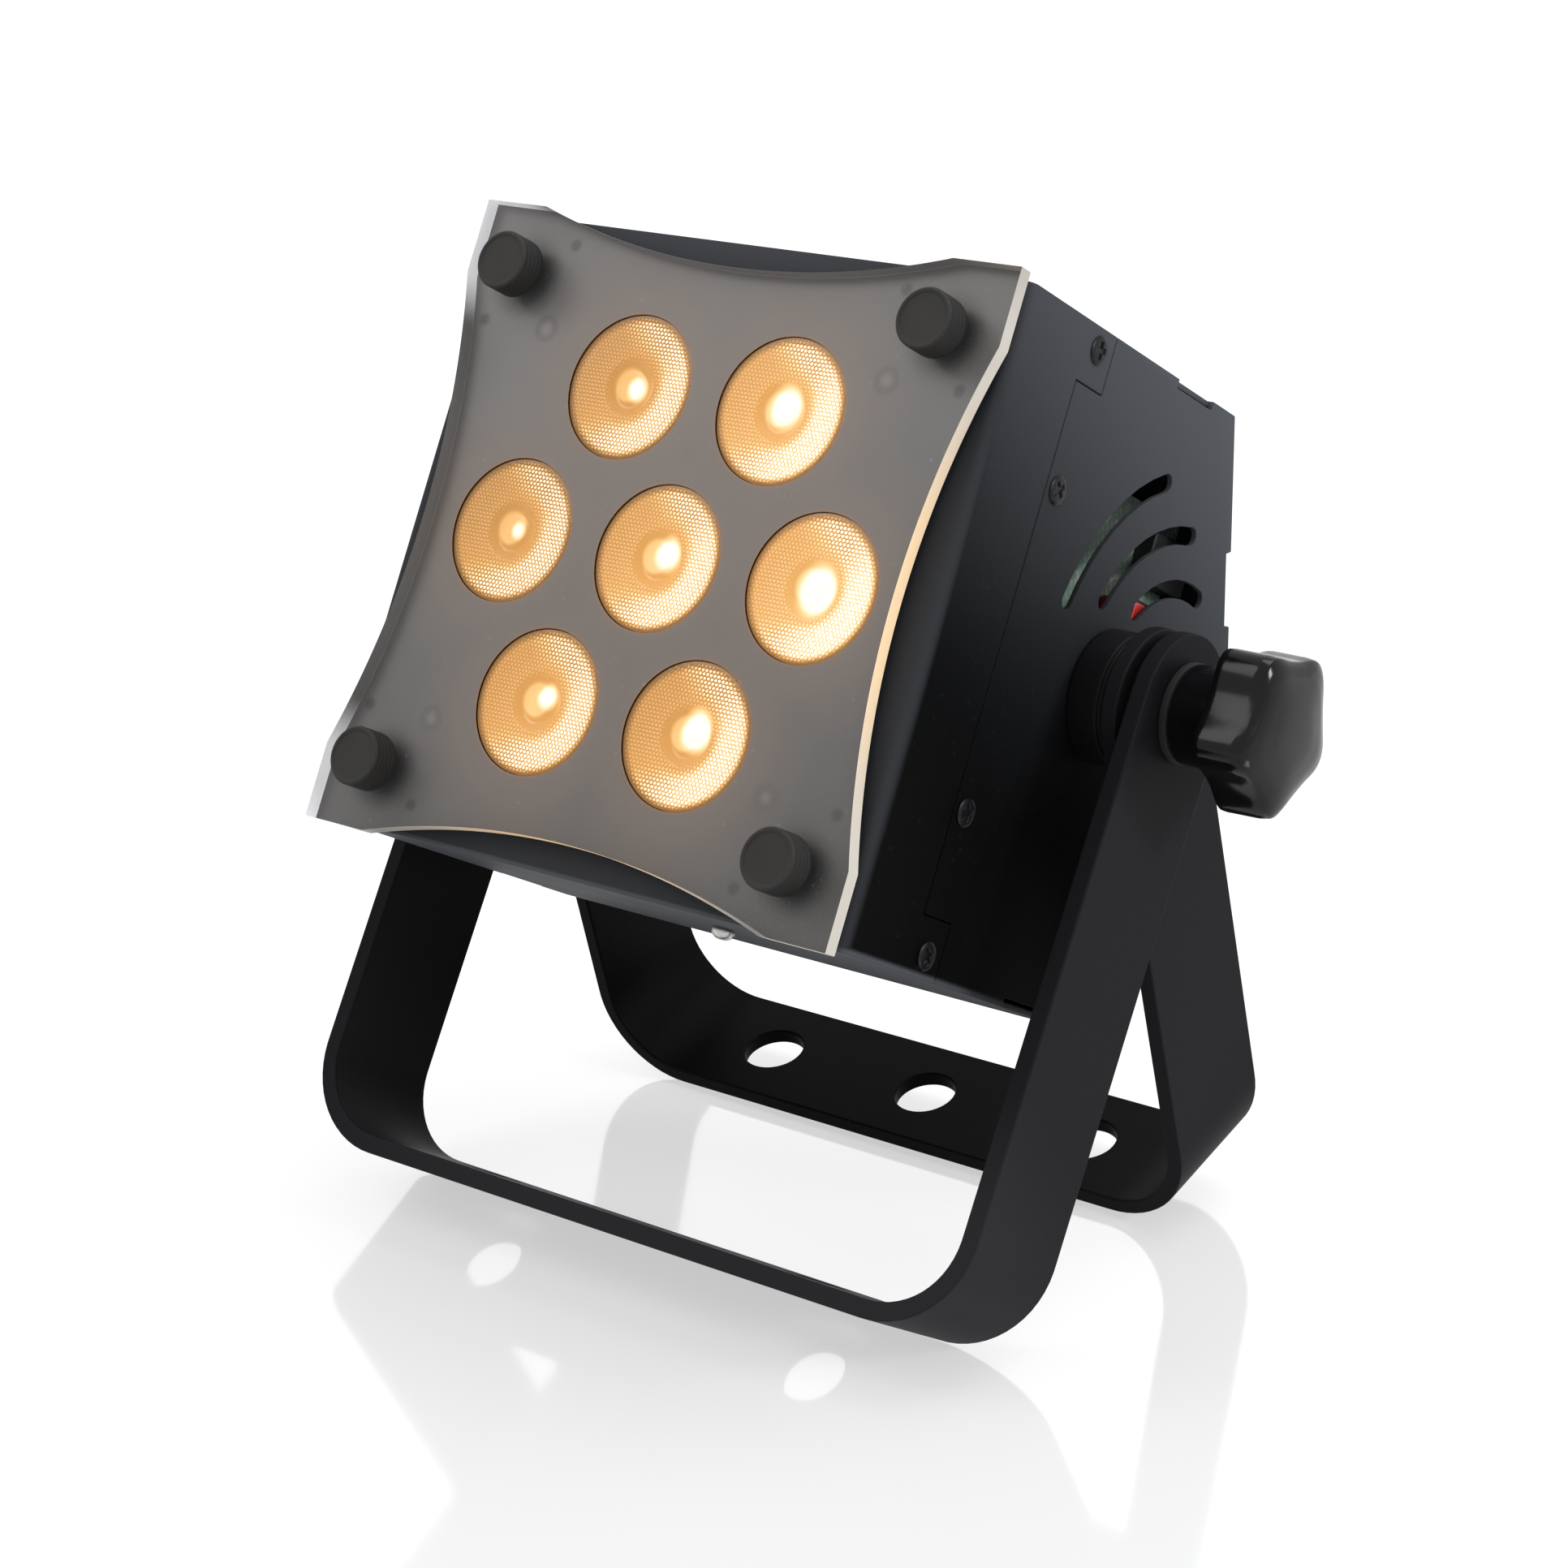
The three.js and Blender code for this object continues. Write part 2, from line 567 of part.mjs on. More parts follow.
const fuseProfile = [
  [0, -fuse.depth],
  [fuse.barrel, -fuse.depth],
  [fuse.barrel, gap],
  [fuse.radius, gap],
  [fuse.radius - 1, fuse.proud],
  [0, fuse.proud],
];
const fuseShape = turned(fuseProfile, "y", 14).translate(fuse.x, 0, fuse.z);
place(head, "fuse_holder", onSlope(fuseShape, true), plasticBlack());

// Every socket has the same flange: the data sockets have a round body behind it, the power sockets a
// square one, and each has a round well.
function placeSockets({ names, spots, well }, bodyAt, materialOf) {
  const { flange, z, face, floor } = socket;
  spots.forEach((x, i) => {
    const plateOnWall = block([x - flange, gap, z - flange], [x + flange, face, z + flange]);
    const bore = rodY(well, -floor, face + 1, x, z, 16);
    const shape = cut(join(plateOnWall, [bodyAt(x)]), [bore]);
    place(head, `${names[i]}_socket`, onSlope(shape, false), materialOf(i));
  });
}
const roundBody = (x) => rodY(dataSocket.body, -socket.depth, 1, x, socket.z, 16);
const squareBody = (x) => {
  const half = powerSocket.body;
  return block([x - half, -socket.depth, socket.z - half], [x + half, 1, socket.z + half]);
};
placeSockets(dataSocket, roundBody, plasticBlack);
placeSockets(powerSocket, squareBody, (i) => finish(powerColors[i], 0.4, 0));

const stud = { radius: 3, edge: 1.8, dome: 3, height: 3.2, reach: 6 };
const studProfile = [
  [0, -halfHeight - stud.height],
  [2, -halfHeight - stud.dome],
  [stud.radius, -halfHeight - stud.edge],
  [stud.radius, -halfHeight - gap],
  [screwShank, -halfHeight - gap],
  [screwShank, -halfHeight + stud.reach],
  [0, -halfHeight + stud.reach],
];
const studShape = turned(studProfile, "y", 12).rotateX(Math.PI / 2);
place(head, "bottom_screw", studShape, steel(), [bottomStud.x, bottomStud.y, 0]);

export default light;
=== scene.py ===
"""The finished look of an LED par can light: a square head with seven amber lenses behind a smoked plate,
clamped by two star knobs between two bent flat bars that spread into a floor stand.

Shapes are worked out in millimetres in the frame of the part they belong to: X to the right, Y from the front
to the back and Z up, with the clamp bolts' axis through the origin. in_row turns and lifts them into place.
"""

import math

import bmesh
import bpy
import numpy as np
from bpy.props import FloatProperty, FloatVectorProperty, PointerProperty
from mathutils import Matrix


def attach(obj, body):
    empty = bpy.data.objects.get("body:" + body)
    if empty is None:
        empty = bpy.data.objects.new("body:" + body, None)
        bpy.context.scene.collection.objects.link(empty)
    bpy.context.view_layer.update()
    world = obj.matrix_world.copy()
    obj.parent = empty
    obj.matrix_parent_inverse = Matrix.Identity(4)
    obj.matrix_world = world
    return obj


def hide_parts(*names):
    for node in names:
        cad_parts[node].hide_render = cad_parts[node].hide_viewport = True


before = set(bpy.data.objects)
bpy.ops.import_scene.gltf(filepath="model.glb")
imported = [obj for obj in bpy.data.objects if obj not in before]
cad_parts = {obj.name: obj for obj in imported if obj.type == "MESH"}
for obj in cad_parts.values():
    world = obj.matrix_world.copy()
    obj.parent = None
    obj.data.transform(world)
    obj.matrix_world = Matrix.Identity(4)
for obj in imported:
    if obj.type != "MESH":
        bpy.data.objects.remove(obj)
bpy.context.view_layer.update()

bl_info = {
    "name": "LED par can light",
    "version": (1, 0, 0),
    "blender": (4, 5, 0),
    "location": "View3D > Sidebar > Par light",
    "description": "Builds the pieces, finishes and stage of an LED par can light",
    "category": "Add Mesh",
}

MM = 0.001
SIDES = {"left": -1, "right": 1}
CORNERS = {"top_left": (-1, 1), "top_right": (1, 1), "bottom_left": (-1, -1), "bottom_right": (1, -1)}

# Places in the head's frame, in millimetres.
THUMB_OFFSET = 66.8  # thumb screws, across and up from the head's middle
PANEL_SCREW = (54.4, 52.7)  # screws behind the plate, across and up
PANEL_DOTS = ((52.7, 75.6), (75.8, 52.7))  # small dark spots behind the plate
PLATE_FRONT = -87.9
PLATE_THICK = 4.3
PLATE_TAB = 20  # straight part of a plate edge, at each corner
LENS_FRONT = -83.2
HOUSING_HALF = 84.5  # outer face of the head's side walls
UNDERSIDE = -83.0  # outer face of the head's bottom wall
REAR_RIDGE = 70.4  # rear walls, where they meet at mid height
REAR_EDGE = 26.4  # rear walls, at the top and the bottom
REAR_HALF = 83  # height of each rear wall


# ---- What a user would change -----------------------------------------------------------------------
def length(name, millimetres, description):
    """A length in metres, shown in the scene's unit."""
    return FloatProperty(
        name=name, description=description, default=millimetres * MM, min=0, unit="LENGTH", precision=5
    )


def angle(name, degrees, description):
    return FloatProperty(name=name, default=math.radians(degrees), subtype="ANGLE", description=description)


def colour(name, value, description):
    return FloatVectorProperty(
        name=name, description=description, default=value, subtype="COLOR", min=0, max=1
    )


class ParLightSizes(bpy.types.PropertyGroup):
    """Where the parts stand, and the sizes of the pieces that a user would change."""

    pivot_height: length("Pivot height", 154.74, "Height of the clamp bolts above the floor")
    pivot_setback: length("Pivot setback", 25.8, "How far the clamp bolts are behind the light's middle")
    head_tilt: angle("Head tilt", 27.6, "How far the beam points up from level")
    front_lean: angle("Front bracket lean", 30.2, "How far the front bracket leans forward")
    rear_lean: angle("Rear bracket lean", 16.4, "How far the rear bracket leans back")
    bar_width: length("Bar width", 40, "Width of the brackets' flat bar")
    bar_edge: length("Bar edge", 0.6, "Rounding of the bar's long edges")
    plate_half: length("Plate half width", 84.5, "Half the width of the smoked plate, to its corner tabs")
    plate_curve: length("Plate edge curve", 9.5, "Depth of the curve in each edge of the smoked plate")
    lens_radius: length("Lens radius", 18.95, "Radius of each lens")
    lens_pitch: length("Lens pitch", 48.2, "Distance from one lens to the next")
    bead_pitch: length("Bead pitch", 1.15, "Distance between the beads moulded into a lens")
    knob_mean: length("Knob radius", 19.7, "Mean radius of the star knobs")
    knob_swing: length("Knob lobes", 2.1, "How far the star knobs' lobes stand out from the mean radius")


class ParLightColours(bpy.types.PropertyGroup):
    """The finishes' main colours."""

    powder: colour("Powder coat", (0.0013, 0.0013, 0.0015), "Satin powder coat of the brackets")
    housing: colour("Housing coat", (0.0016, 0.0017, 0.0019), "Fine powder coat of the head")
    acrylic: colour("Smoked acrylic", (0.142, 0.136, 0.133), "Face of the smoked plate")
    # painted light: the edge's cream colour stands for light that the sheet carries from the lenses
    acrylic_edge: colour("Acrylic edge", (0.46, 0.43, 0.38), "Polished edge of the smoked plate")
    amber: colour("Lens amber", (0.86, 0.4, 0.09), "Light that the lenses give")
    plastic: colour("Black plastic", (0.015, 0.0138, 0.013), "Moulded thumb screws, buttons and sockets")
    knob: colour("Knob plastic", (0.003, 0.003, 0.0036), "Polished plastic of the star knobs")
    steel: colour("Blackened steel", (0.018, 0.018, 0.02), "Screws in the head's sides")
    board: colour("Driver board", (0.17, 0.25, 0.2), "Solder mask of the driver board")


def chosen(context):
    """The sizes and the colours that are set in the scene."""
    return context.scene.par_light_sizes, context.scene.par_light_colours


# ---- Shader maths -----------------------------------------------------------------------------------
class Wire:
    """One output socket of a shader node, with the arithmetic that the materials use."""

    def __init__(self, tree, socket):
        self.tree = tree
        self.socket = socket

    def node(self, kind, settings=(), inputs=(), output=0):
        """Adds a node: its settings first, then the values or links of its sockets."""
        made = self.tree.nodes.new(kind)
        for key, value in dict(settings).items():
            if key == "stops":
                set_stops(made.color_ramp, value)
            else:
                setattr(made, key, value)
        for key, value in dict(inputs).items():
            if isinstance(value, Wire):
                self.tree.links.new(value.socket, made.inputs[key])
            else:
                made.inputs[key].default_value = value
        return Wire(self.tree, made.outputs[output])

    def math(self, operation, *values):
        return self.node("ShaderNodeMath", {"operation": operation}, enumerate(values))

    def parts(self):
        """The three values of a vector."""
        return [self.node("ShaderNodeSeparateXYZ", inputs={0: self}, output=i) for i in range(3)]

    def __add__(self, other):
        return self.math("ADD", self, other)

    def __sub__(self, other):
        return self.math("SUBTRACT", self, other)

    def __rsub__(self, other):
        return self.math("SUBTRACT", other, self)

    def __neg__(self):
        return 0 - self

    def __mul__(self, other):
        return self.math("MULTIPLY", self, other)

    def __pow__(self, other):
        return self.math("POWER", self, other)

    def __abs__(self):
        return self.math("ABSOLUTE", self)

    __radd__ = __add__
    __rmul__ = __mul__

    def least(self, other):
        return self.math("MINIMUM", self, other)

    def most(self, other):
        return self.math("MAXIMUM", self, other)

    def root(self):
        return self.math("SQRT", self)

    def ramp(self, low, high, to_low=0.0, to_high=1.0):
        """Rises smoothly from to_low at low to to_high at high."""
        inputs = {"Value": self, "From Min": low, "From Max": high, "To Min": to_low, "To Max": to_high}
        return self.node("ShaderNodeMapRange", {"interpolation_type": "SMOOTHSTEP"}, inputs)

    def mix(self, first, second):
        """From the first colour to the second as this value goes from 0 to 1."""
        inputs = {"Factor": self, 6: first, 7: second}
        return self.node("ShaderNodeMix", {"data_type": "RGBA"}, inputs, 2)


def set_stops(ramp, stops):
    while len(ramp.elements) < len(stops):
        ramp.elements.new(1)
    for element, (position, value) in zip(ramp.elements, stops):
        element.position = position
        element.color = value


MADE_FINISHES = {}


def rgba(value, factor=1.0):
    return tuple(min(1.0, c * factor) for c in value) + (1.0,)


def material(name, paint, **constants):
    """A Principled material: constants go straight to its sockets, and paint(wire) gives what varies."""
    if name in MADE_FINISHES:
        return MADE_FINISHES[name]
    made = bpy.data.materials.new(name)
    MADE_FINISHES[name] = made
    made.use_nodes = True
    tree = made.node_tree
    shader = tree.nodes["Principled BSDF"]
    for key, value in constants.items():
        shader.inputs[key.replace("_", " ")].default_value = value
    place = Wire(tree, tree.nodes.new("ShaderNodeTexCoord").outputs["Object"])
    for key, value in paint(place).items():
        tree.links.new(value.socket, shader.inputs[key])
    return made


def noise(place, scale, detail=2.0, roughness=0.5):
    """Cloudy values from 0 to 1; scale is in repeats a metre."""
    inputs = {"Vector": place, "Scale": scale, "Detail": detail, "Roughness": roughness}
    return place.node("ShaderNodeTexNoise", inputs=inputs)


def bump(height, strength, millimetres):
    """A normal from a height."""
    inputs = {"Height": height, "Strength": strength, "Distance": millimetres * MM}
    return height.node("ShaderNodeBump", inputs=inputs)


def in_head(place, sizes):
    """Object coordinates turned back into the head's own frame, in millimetres, as three values."""
    settings = {"vector_type": "TEXTURE"}
    inputs = {
        "Vector": place,
        "Location": (0, sizes.pivot_setback, sizes.pivot_height),
        "Rotation": (-sizes.head_tilt, 0, 0),
        "Scale": (MM, MM, MM),
    }
    turned_back = place.node("ShaderNodeMapping", settings, inputs)
    return turned_back.parts()


# ---- Finishes ---------------------------------------------------------------------------------------
def powder_coat(name, base, gloss, grain, specular, painted_light, lift):
    """Powder coat: a fine orange-peel skin, slow cloudy changes of gloss and a few paler dust specks.

    The function passed in paints light: from 0 to 1 it says how far the coat is on its way to its palest,
    lift times its colour.
    """

    def paint(place):
        peel = noise(place, 1500 * grain, 3)
        cloud = noise(place, 16, 4, 0.6)
        dust = noise(place, 620, 1).ramp(0.69, 0.76)
        tone = cloud.ramp(0.3, 0.7).mix(rgba(base, 0.75), rgba(base, 1.3))
        tone = (dust * 0.5).mix(tone, rgba(base, 5))
        # painted light: the coat paler where the light would fall, up to lift times its colour
        tone = painted_light(place).mix(tone, rgba(base, lift))
        return {
            "Base Color": tone,
            "Roughness": gloss + 0.1 * cloud + 0.06 * peel,
            "Normal": bump(peel, 0.35, 0.09),
        }

    return material(name, paint, Specular_IOR_Level=specular)


def bracket_finish(colours):
    """The brackets' coat with painted light and shade: deeper behind, below and to the left, and palest low
    on the front bracket.
    """

    def painted_light(place):
        x, y, z = place.parts()
        light = (x + 0.7 * z - 1.2 * y).ramp(-0.08, 0.08)
        low_front = (-y - 0.6 * z).ramp(-0.01, 0.04)
        return light * (0.55 + 0.45 * low_front)

    return powder_coat("satin_powder_coat", colours.powder, 0.42, 1.0, 0.035, painted_light, 13)


def housing_finish(sizes, colours):
    """The head's coat with painted light: paler towards its top, along its front and below, over the white
    table.
    """

    def painted_light(place):
        _, y, z = in_head(place, sizes)
        upper = (z + 0.35 * y).ramp(-75, 100) ** 1.7
        below = (-z).ramp(81, 82.5, 0, 0.95)
        front = (-y).ramp(77, 81, 0, 0.45)
        return upper.most(below).most(front)

    return powder_coat("housing_powder_coat", colours.housing, 0.45, 1.4, 0.025, painted_light, 38)


def plate_finish(sizes, colours):
    """Clear acrylic with a smoked grey back, open over each lens.

    The front of the sheet is nearly clear and shows the back and the lit edges through it. The back has
    painted shade towards the lower right and painted light: a warm glow spreading from the lenses and amber
    at the windows' rims. Then come the dots and screws behind it, a painted shadow round the thumb screws
    and a few pale specks.
    """
    pitch = sizes.lens_pitch / MM
    lens_radius = sizes.lens_radius / MM

    def distance(x, z, at_x, at_z):
        return ((x - at_x) ** 2 + (z - at_z) ** 2).root()

    def to_lens(x, z):
        """Distance to the nearest lens centre: the middle one, the two beside it or the four others."""
        beside = distance(abs(x), z, pitch, 0)
        others = distance(abs(x), abs(z), pitch / 2, pitch * math.sin(math.pi / 3))
        return distance(x, z, 0, 0).least(beside).least(others)

    def paint(place):
        x, depth, z = in_head(place, sizes)
        lens_gap = to_lens(x, z)
        side, height = abs(x + 1.8), abs(z - 0.7)  # what is behind shows a little to the left and above
        dots = distance(side, height, *PANEL_DOTS[0]).least(distance(side, height, *PANEL_DOTS[1]))
        screw = distance(side, height, *PANEL_SCREW)
        thumb = distance(abs(x + 0.4), abs(z + 0.8), THUMB_OFFSET, THUMB_OFFSET)
        cloud = noise(place, 28, 4, 0.55)
        speck = noise(place, 900, 1).ramp(0.7, 0.8)
        tone = cloud.ramp(0.25, 0.75).mix(rgba(colours.acrylic, 0.92), rgba(colours.acrylic, 1.08))
        # painted shade: the face darker towards the lower right
        painted_shade_ramp = (z - 0.45 * x).ramp(-95, 95)
        tone = painted_shade_ramp.mix(rgba(colours.acrylic, 0.7), tone)
        for amount, shade in (
            # painted light: a warm glow spreading from the lenses
            (lens_gap.ramp(15, 44, 0.6, 0), (0.177, 0.136, 0.11, 1)),
            # painted light: amber glow of the lens rims round the windows
            (lens_gap.ramp(lens_radius - 0.4, lens_radius + 1.2, 0.8, 0), (0.3, 0.13, 0.03, 1)),
            (dots.ramp(0.8, 2.4, 0.7, 0), (0.05, 0.05, 0.05, 1)),
            (abs(screw - 2.9).ramp(0.2, 1.5, 0.4, 0), (0.08, 0.08, 0.08, 1)),
            (screw.ramp(0.4, 2.0, 0.1, 0), (0.4, 0.39, 0.38, 1)),
            # painted shadow round the thumb screws
            (thumb.ramp(5, 13, 0.85, 0), (0.02, 0.02, 0.02, 1)),
            (speck * 0.25, (0.32, 0.32, 0.32, 1)),
        ):
            tone = amount.mix(tone, shade)
        window = lens_gap.ramp(lens_radius + 0.05, lens_radius + 0.35, 0, 1)
        on_back = depth.ramp(PLATE_FRONT + 1, PLATE_FRONT + 2)
        return {
            "Base Color": tone,
            "Roughness": 0.34 + 0.08 * cloud,
            "Alpha": window.least(on_back.ramp(0, 1, 0.06, 1)),
            "Normal": bump(noise(place, 2600, 2), 0.05, 0.03),
        }

    return material("smoked_acrylic_face", paint, Specular_IOR_Level=0.35, IOR=1.49)


def plate_edge_finish(sizes, colours):
    """The plate's cut edges, painted with light as if they carry it along the sheet: amber near the lenses
    and paler at the corners on the right and below, painted shade that turns them grey to the left and above,
    and painted white light at the left tabs."""

    def paint(place):
        x, _, z = in_head(place, sizes)
        middle = abs(z).least(abs(x)).ramp(8, 62)
        saw = noise(place, 420, 2)
        # painted light: amber near the lenses, the cream edge colour further out
        tone = middle.mix((0.72, 0.54, 0.34, 1), rgba(colours.acrylic_edge))
        tone = (saw * 0.35).mix(tone, rgba(colours.acrylic_edge, 0.8))
        # painted shade: the edges grey to the left and above
        lit = (x - 0.8 * z).ramp(-15, 40)
        tone = lit.mix((0.15, 0.145, 0.14, 1), tone)
        # painted light: the left tabs white
        tab = (-x).ramp(60, 76) * abs(z).ramp(50, 66)
        tone = tab.mix(tone, (0.8, 0.8, 0.82, 1))
        # painted glow of the edges: amber near the middle, faint further out, only on the lit side, and white
        # at the left tabs
        gleam = middle.mix((0.22, 0.13, 0.05, 1), (0.05, 0.045, 0.04, 1))
        return {
            "Base Color": tone,
            "Emission Color": tab.mix(lit.mix((0, 0, 0, 1), gleam), (0.25, 0.25, 0.26, 1)),
            "Roughness": 0.3 + 0.25 * saw,
            "Normal": bump(saw, 0.2, 0.05),
        }

    return material("acrylic_cut_edge", paint, Emission_Strength=1.0, Specular_IOR_Level=0.4)


def lens_finish(colours):
    """A lit moulded lens: the attribute glow, made with the surface, is how bright each point is."""
    amber = colours.amber
    stops = [
        (0.0, (0.05, 0.022, 0.008, 1)),
        (0.2, rgba(amber, 0.3)),
        (0.42, rgba(amber, 0.8)),
        (0.6, (0.95, 0.62, 0.26, 1)),
        (0.74, (1.0, 0.82, 0.55, 1)),
        (0.86, (1.0, 0.96, 0.88, 1)),
    ]

    def paint(place):
        glow = place.node("ShaderNodeAttribute", {"attribute_name": "glow"}, output=2)
        light = place.node("ShaderNodeValToRGB", {"stops": stops}, {"Fac": glow})
        streak = noise(place, 700, 2)
        return {
            "Base Color": glow.mix((0.05, 0.024, 0.008, 1), (0.2, 0.12, 0.05, 1)),
            "Emission Color": light,
            "Roughness": 0.08 + 0.1 * streak,
            "Normal": bump(streak, 0.1, 0.03),
        }

    shine = {"Specular_IOR_Level": 0.3, "Coat_Roughness": 0.05}
    return material("lit_amber_lens", paint, Emission_Strength=1.0, **shine)


def moulded_finish(name, base, gloss, specular=0.4, grain=2200, bump_height=0.05, **more):
    """Moulded plastic or rubber: a fine spark-eroded grain, faint flow marks and handling shine."""

    def paint(place):
        fine = noise(place, grain, 3)
        flow = noise(place, 60, 3, 0.6)
        tone = flow.ramp(0.25, 0.75).mix(rgba(base, 0.8), rgba(base, 1.25))
        return {
            "Base Color": tone,
            "Roughness": gloss + 0.1 * flow + 0.04 * fine,
            "Normal": bump(fine, 0.25, bump_height),
        }

    return material(name, paint, Specular_IOR_Level=specular, **more)


def metal_finish(name, base, gloss, brush=(1, 1, 1), **more):
    """Machined metal: fine streaks stretched along brush, with darker oxide in slow clouds."""

    def paint(place):
        stretched = place.node("ShaderNodeMapping", inputs={"Vector": place, "Scale": brush})
        streak = noise(stretched, 900, 3, 0.6)
        oxide = noise(place, 140, 3, 0.6)
        tone = oxide.ramp(0.35, 0.75).mix(rgba(base), rgba(base, 0.55))
        tone = (streak * 0.4).mix(tone, rgba(base, 1.5))
        return {
            "Base Color": tone,
            "Roughness": gloss + 0.18 * streak,
            "Normal": bump(streak, 0.2, 0.02),
        }

    return material(name, paint, Metallic=1.0, **more)


def satin_plastic(colours):
    return moulded_finish("satin_black_plastic", colours.plastic, 0.38, 0.4, 1900, 0.05)


def soft_rubber():
    return moulded_finish("soft_rubber", (0.012, 0.012, 0.0125), 0.72, 0.25, 1500, 0.12)


def bright_steel():
    return metal_finish("bright_steel", (0.55, 0.54, 0.52), 0.22)


def board_finish(name, mask, copper):
    """A circuit board: solder mask with slightly raised tracks in two directions and bright pads."""

    def paint(place):
        along = {"Vector": place, "Scale": 150.0, "Distortion": 1.5, "Detail": 1.0}
        across = {"Vector": place, "Scale": 110.0, "Distortion": 0.8, "Detail": 1.0}
        first = place.node("ShaderNodeTexWave", {"bands_direction": "Y"}, along, 1)
        second = place.node("ShaderNodeTexWave", {"bands_direction": "Z"}, across, 1)
        track = first.ramp(0.72, 0.8) * second.ramp(0.2, 0.3)
        pad = noise(place, 520, 0).ramp(0.66, 0.7)
        tone = track.mix(rgba(mask, 0.9), rgba(mask, 1.3))
        tone = pad.mix(tone, rgba(copper))
        return {
            "Base Color": tone,
            "Roughness": 0.4 - 0.15 * pad + 0.05 * track,
            "Normal": bump(track + pad, 0.4, 0.05),
        }

    return material(name, paint, Specular_IOR_Level=0.4)


def glass_finish():
    """A dark display window: unlit glass with a faint wash of green behind it and a trace of dust."""

    def paint(place):
        wash = noise(place, 30, 2)
        dust = noise(place, 1100, 1).ramp(0.72, 0.8)
        tone = wash.mix((0.006, 0.010, 0.009, 1), (0.012, 0.024, 0.018, 1))
        return {
            "Base Color": (dust * 0.3).mix(tone, (0.1, 0.1, 0.1, 1)),
            "Roughness": 0.05 + 0.2 * dust,
            "Normal": bump(wash, 0.05, 0.05),
        }

    return material("display_glass", paint, Specular_IOR_Level=0.5)


# ---- Surfaces ---------------------------------------------------------------------------------------
def in_row(points, lean, sizes):
    """Turns points about the clamp bolts by lean, lifts them to the bolts' height and gives metres."""
    x, y, z = np.moveaxis(np.asarray(points, float), -1, 0) * MM
    c, s = math.cos(lean), math.sin(lean)
    row = (x, y * c + z * s + sizes.pivot_setback, z * c - y * s + sizes.pivot_height)
    return np.stack(row, -1)


def on_head(points, sizes):
    return in_row(points, sizes.head_tilt, sizes)


def softened(points, reach, steps=3):
    """A line of points whose corners are rounded: each gives way to a parabola that starts and ends
    reach away from it, or a third of the way to the next corner where that is less."""
    line = np.array(points, float)
    corner, back, ahead = line[1:-1], line[:-2] - line[1:-1], line[2:] - line[1:-1]

    def shortened(step):
        size = np.linalg.norm(step, axis=1, keepdims=True)
        return step * np.minimum(reach / size, 1 / 3)

    t = np.linspace(0, 1, steps + 1)[:, None, None]
    curve = corner + (1 - t) ** 2 * shortened(back) + t**2 * shortened(ahead)
    return np.vstack([line[:1], curve.transpose(1, 0, 2).reshape(-1, line.shape[1]), line[-1:]])


def turned(profile, count, along="y", centre=(0, 0, 0)):
    """A turned surface: every (radius, station) of the profile goes round a straight axis, so that the
    point at angle a lies at radius sin a and radius cos a across the axis and at its station along it."""
    around = np.linspace(0, 2 * math.pi, count, endpoint=False)
    radius, station = np.array(profile, float).T[:, :, None]
    across, up = radius * np.sin(around), radius * np.cos(around)
    ahead = np.broadcast_to(station, across.shape)
    order = (ahead, across, up) if along == "x" else (across, ahead, up)
    return np.stack(order, -1) + np.array(centre, float)


def mesh_object(name, patches, finishes, closed=True, solid=True, glow=None, sharp=40):
    """Makes an object from grids of points: each grid's neighbours are joined by four-sided faces, round
    the grid too where closed, then points in the same place are merged and faces turned outwards."""
    quads, start = [], 0
    for patch in patches:
        index = start + np.arange(patch[..., 0].size).reshape(patch.shape[:2])
        start += index.size
        if closed:
            index = np.column_stack([index, index[:, 0]])
        ring = index[:-1, :-1], index[1:, :-1], index[1:, 1:], index[:-1, 1:]
        quads.append(np.stack(ring, -1).reshape(-1, 4))
    points = np.concatenate([patch.reshape(-1, 3) for patch in patches])
    mesh = bpy.data.meshes.new(name)
    mesh.from_pydata(points, [], np.concatenate(quads))
    if glow is not None:
        mesh.attributes.new("glow", "FLOAT", "POINT").data.foreach_set("value", glow.ravel())
    return linked(name, mesh, finishes, solid, sharp)


def linked(name, mesh, finishes, solid=True, sharp=40):
    """Merges the mesh's doubles, turns its faces outwards where it is a solid, and links an object."""
    built = bmesh.new()
    built.from_mesh(mesh)
    bmesh.ops.remove_doubles(built, verts=built.verts, dist=2e-6)
    bmesh.ops.dissolve_degenerate(built, edges=built.edges, dist=1e-7)
    if solid:
        bmesh.ops.recalc_face_normals(built, faces=built.faces)
    built.to_mesh(mesh)
    built.free()
    mesh.shade_smooth()
    mesh.set_sharp_from_angle(angle=math.radians(sharp))
    for finish in finishes:
        mesh.materials.append(finish)
    made = bpy.data.objects.new(name, mesh)
    bpy.context.scene.collection.objects.link(made)
    return made


def belongs(piece, body, nodes, slot):
    """The piece rides on a body and stands for those CAD nodes, which it hides. slot is not used."""
    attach(piece, body)
    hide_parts(*nodes)


def thicken(piece, thickness, edge, rim=0):
    """Gives a sheet its thickness, half on each side, and rounds its edges."""
    wall = piece.modifiers.new("thickness", "SOLIDIFY")
    wall.thickness = thickness * MM
    wall.offset = 0
    wall.use_even_offset = True
    wall.material_offset_rim = rim
    round_edges(piece, edge)


def round_edges(piece, edge, segments=2):
    rounding = piece.modifiers.new("edges", "BEVEL")
    rounding.width = edge * MM
    rounding.segments = segments
    rounding.limit_method = "ANGLE"
    rounding.angle_limit = math.radians(40)
    rounding.harden_normals = True
    rounding.use_clamp_overlap = False


def closed_ring(grids):
    """Grids that go round, with their first line of points repeated at the end."""
    return [np.concatenate([grid, grid[:, :1]], 1) for grid in grids]


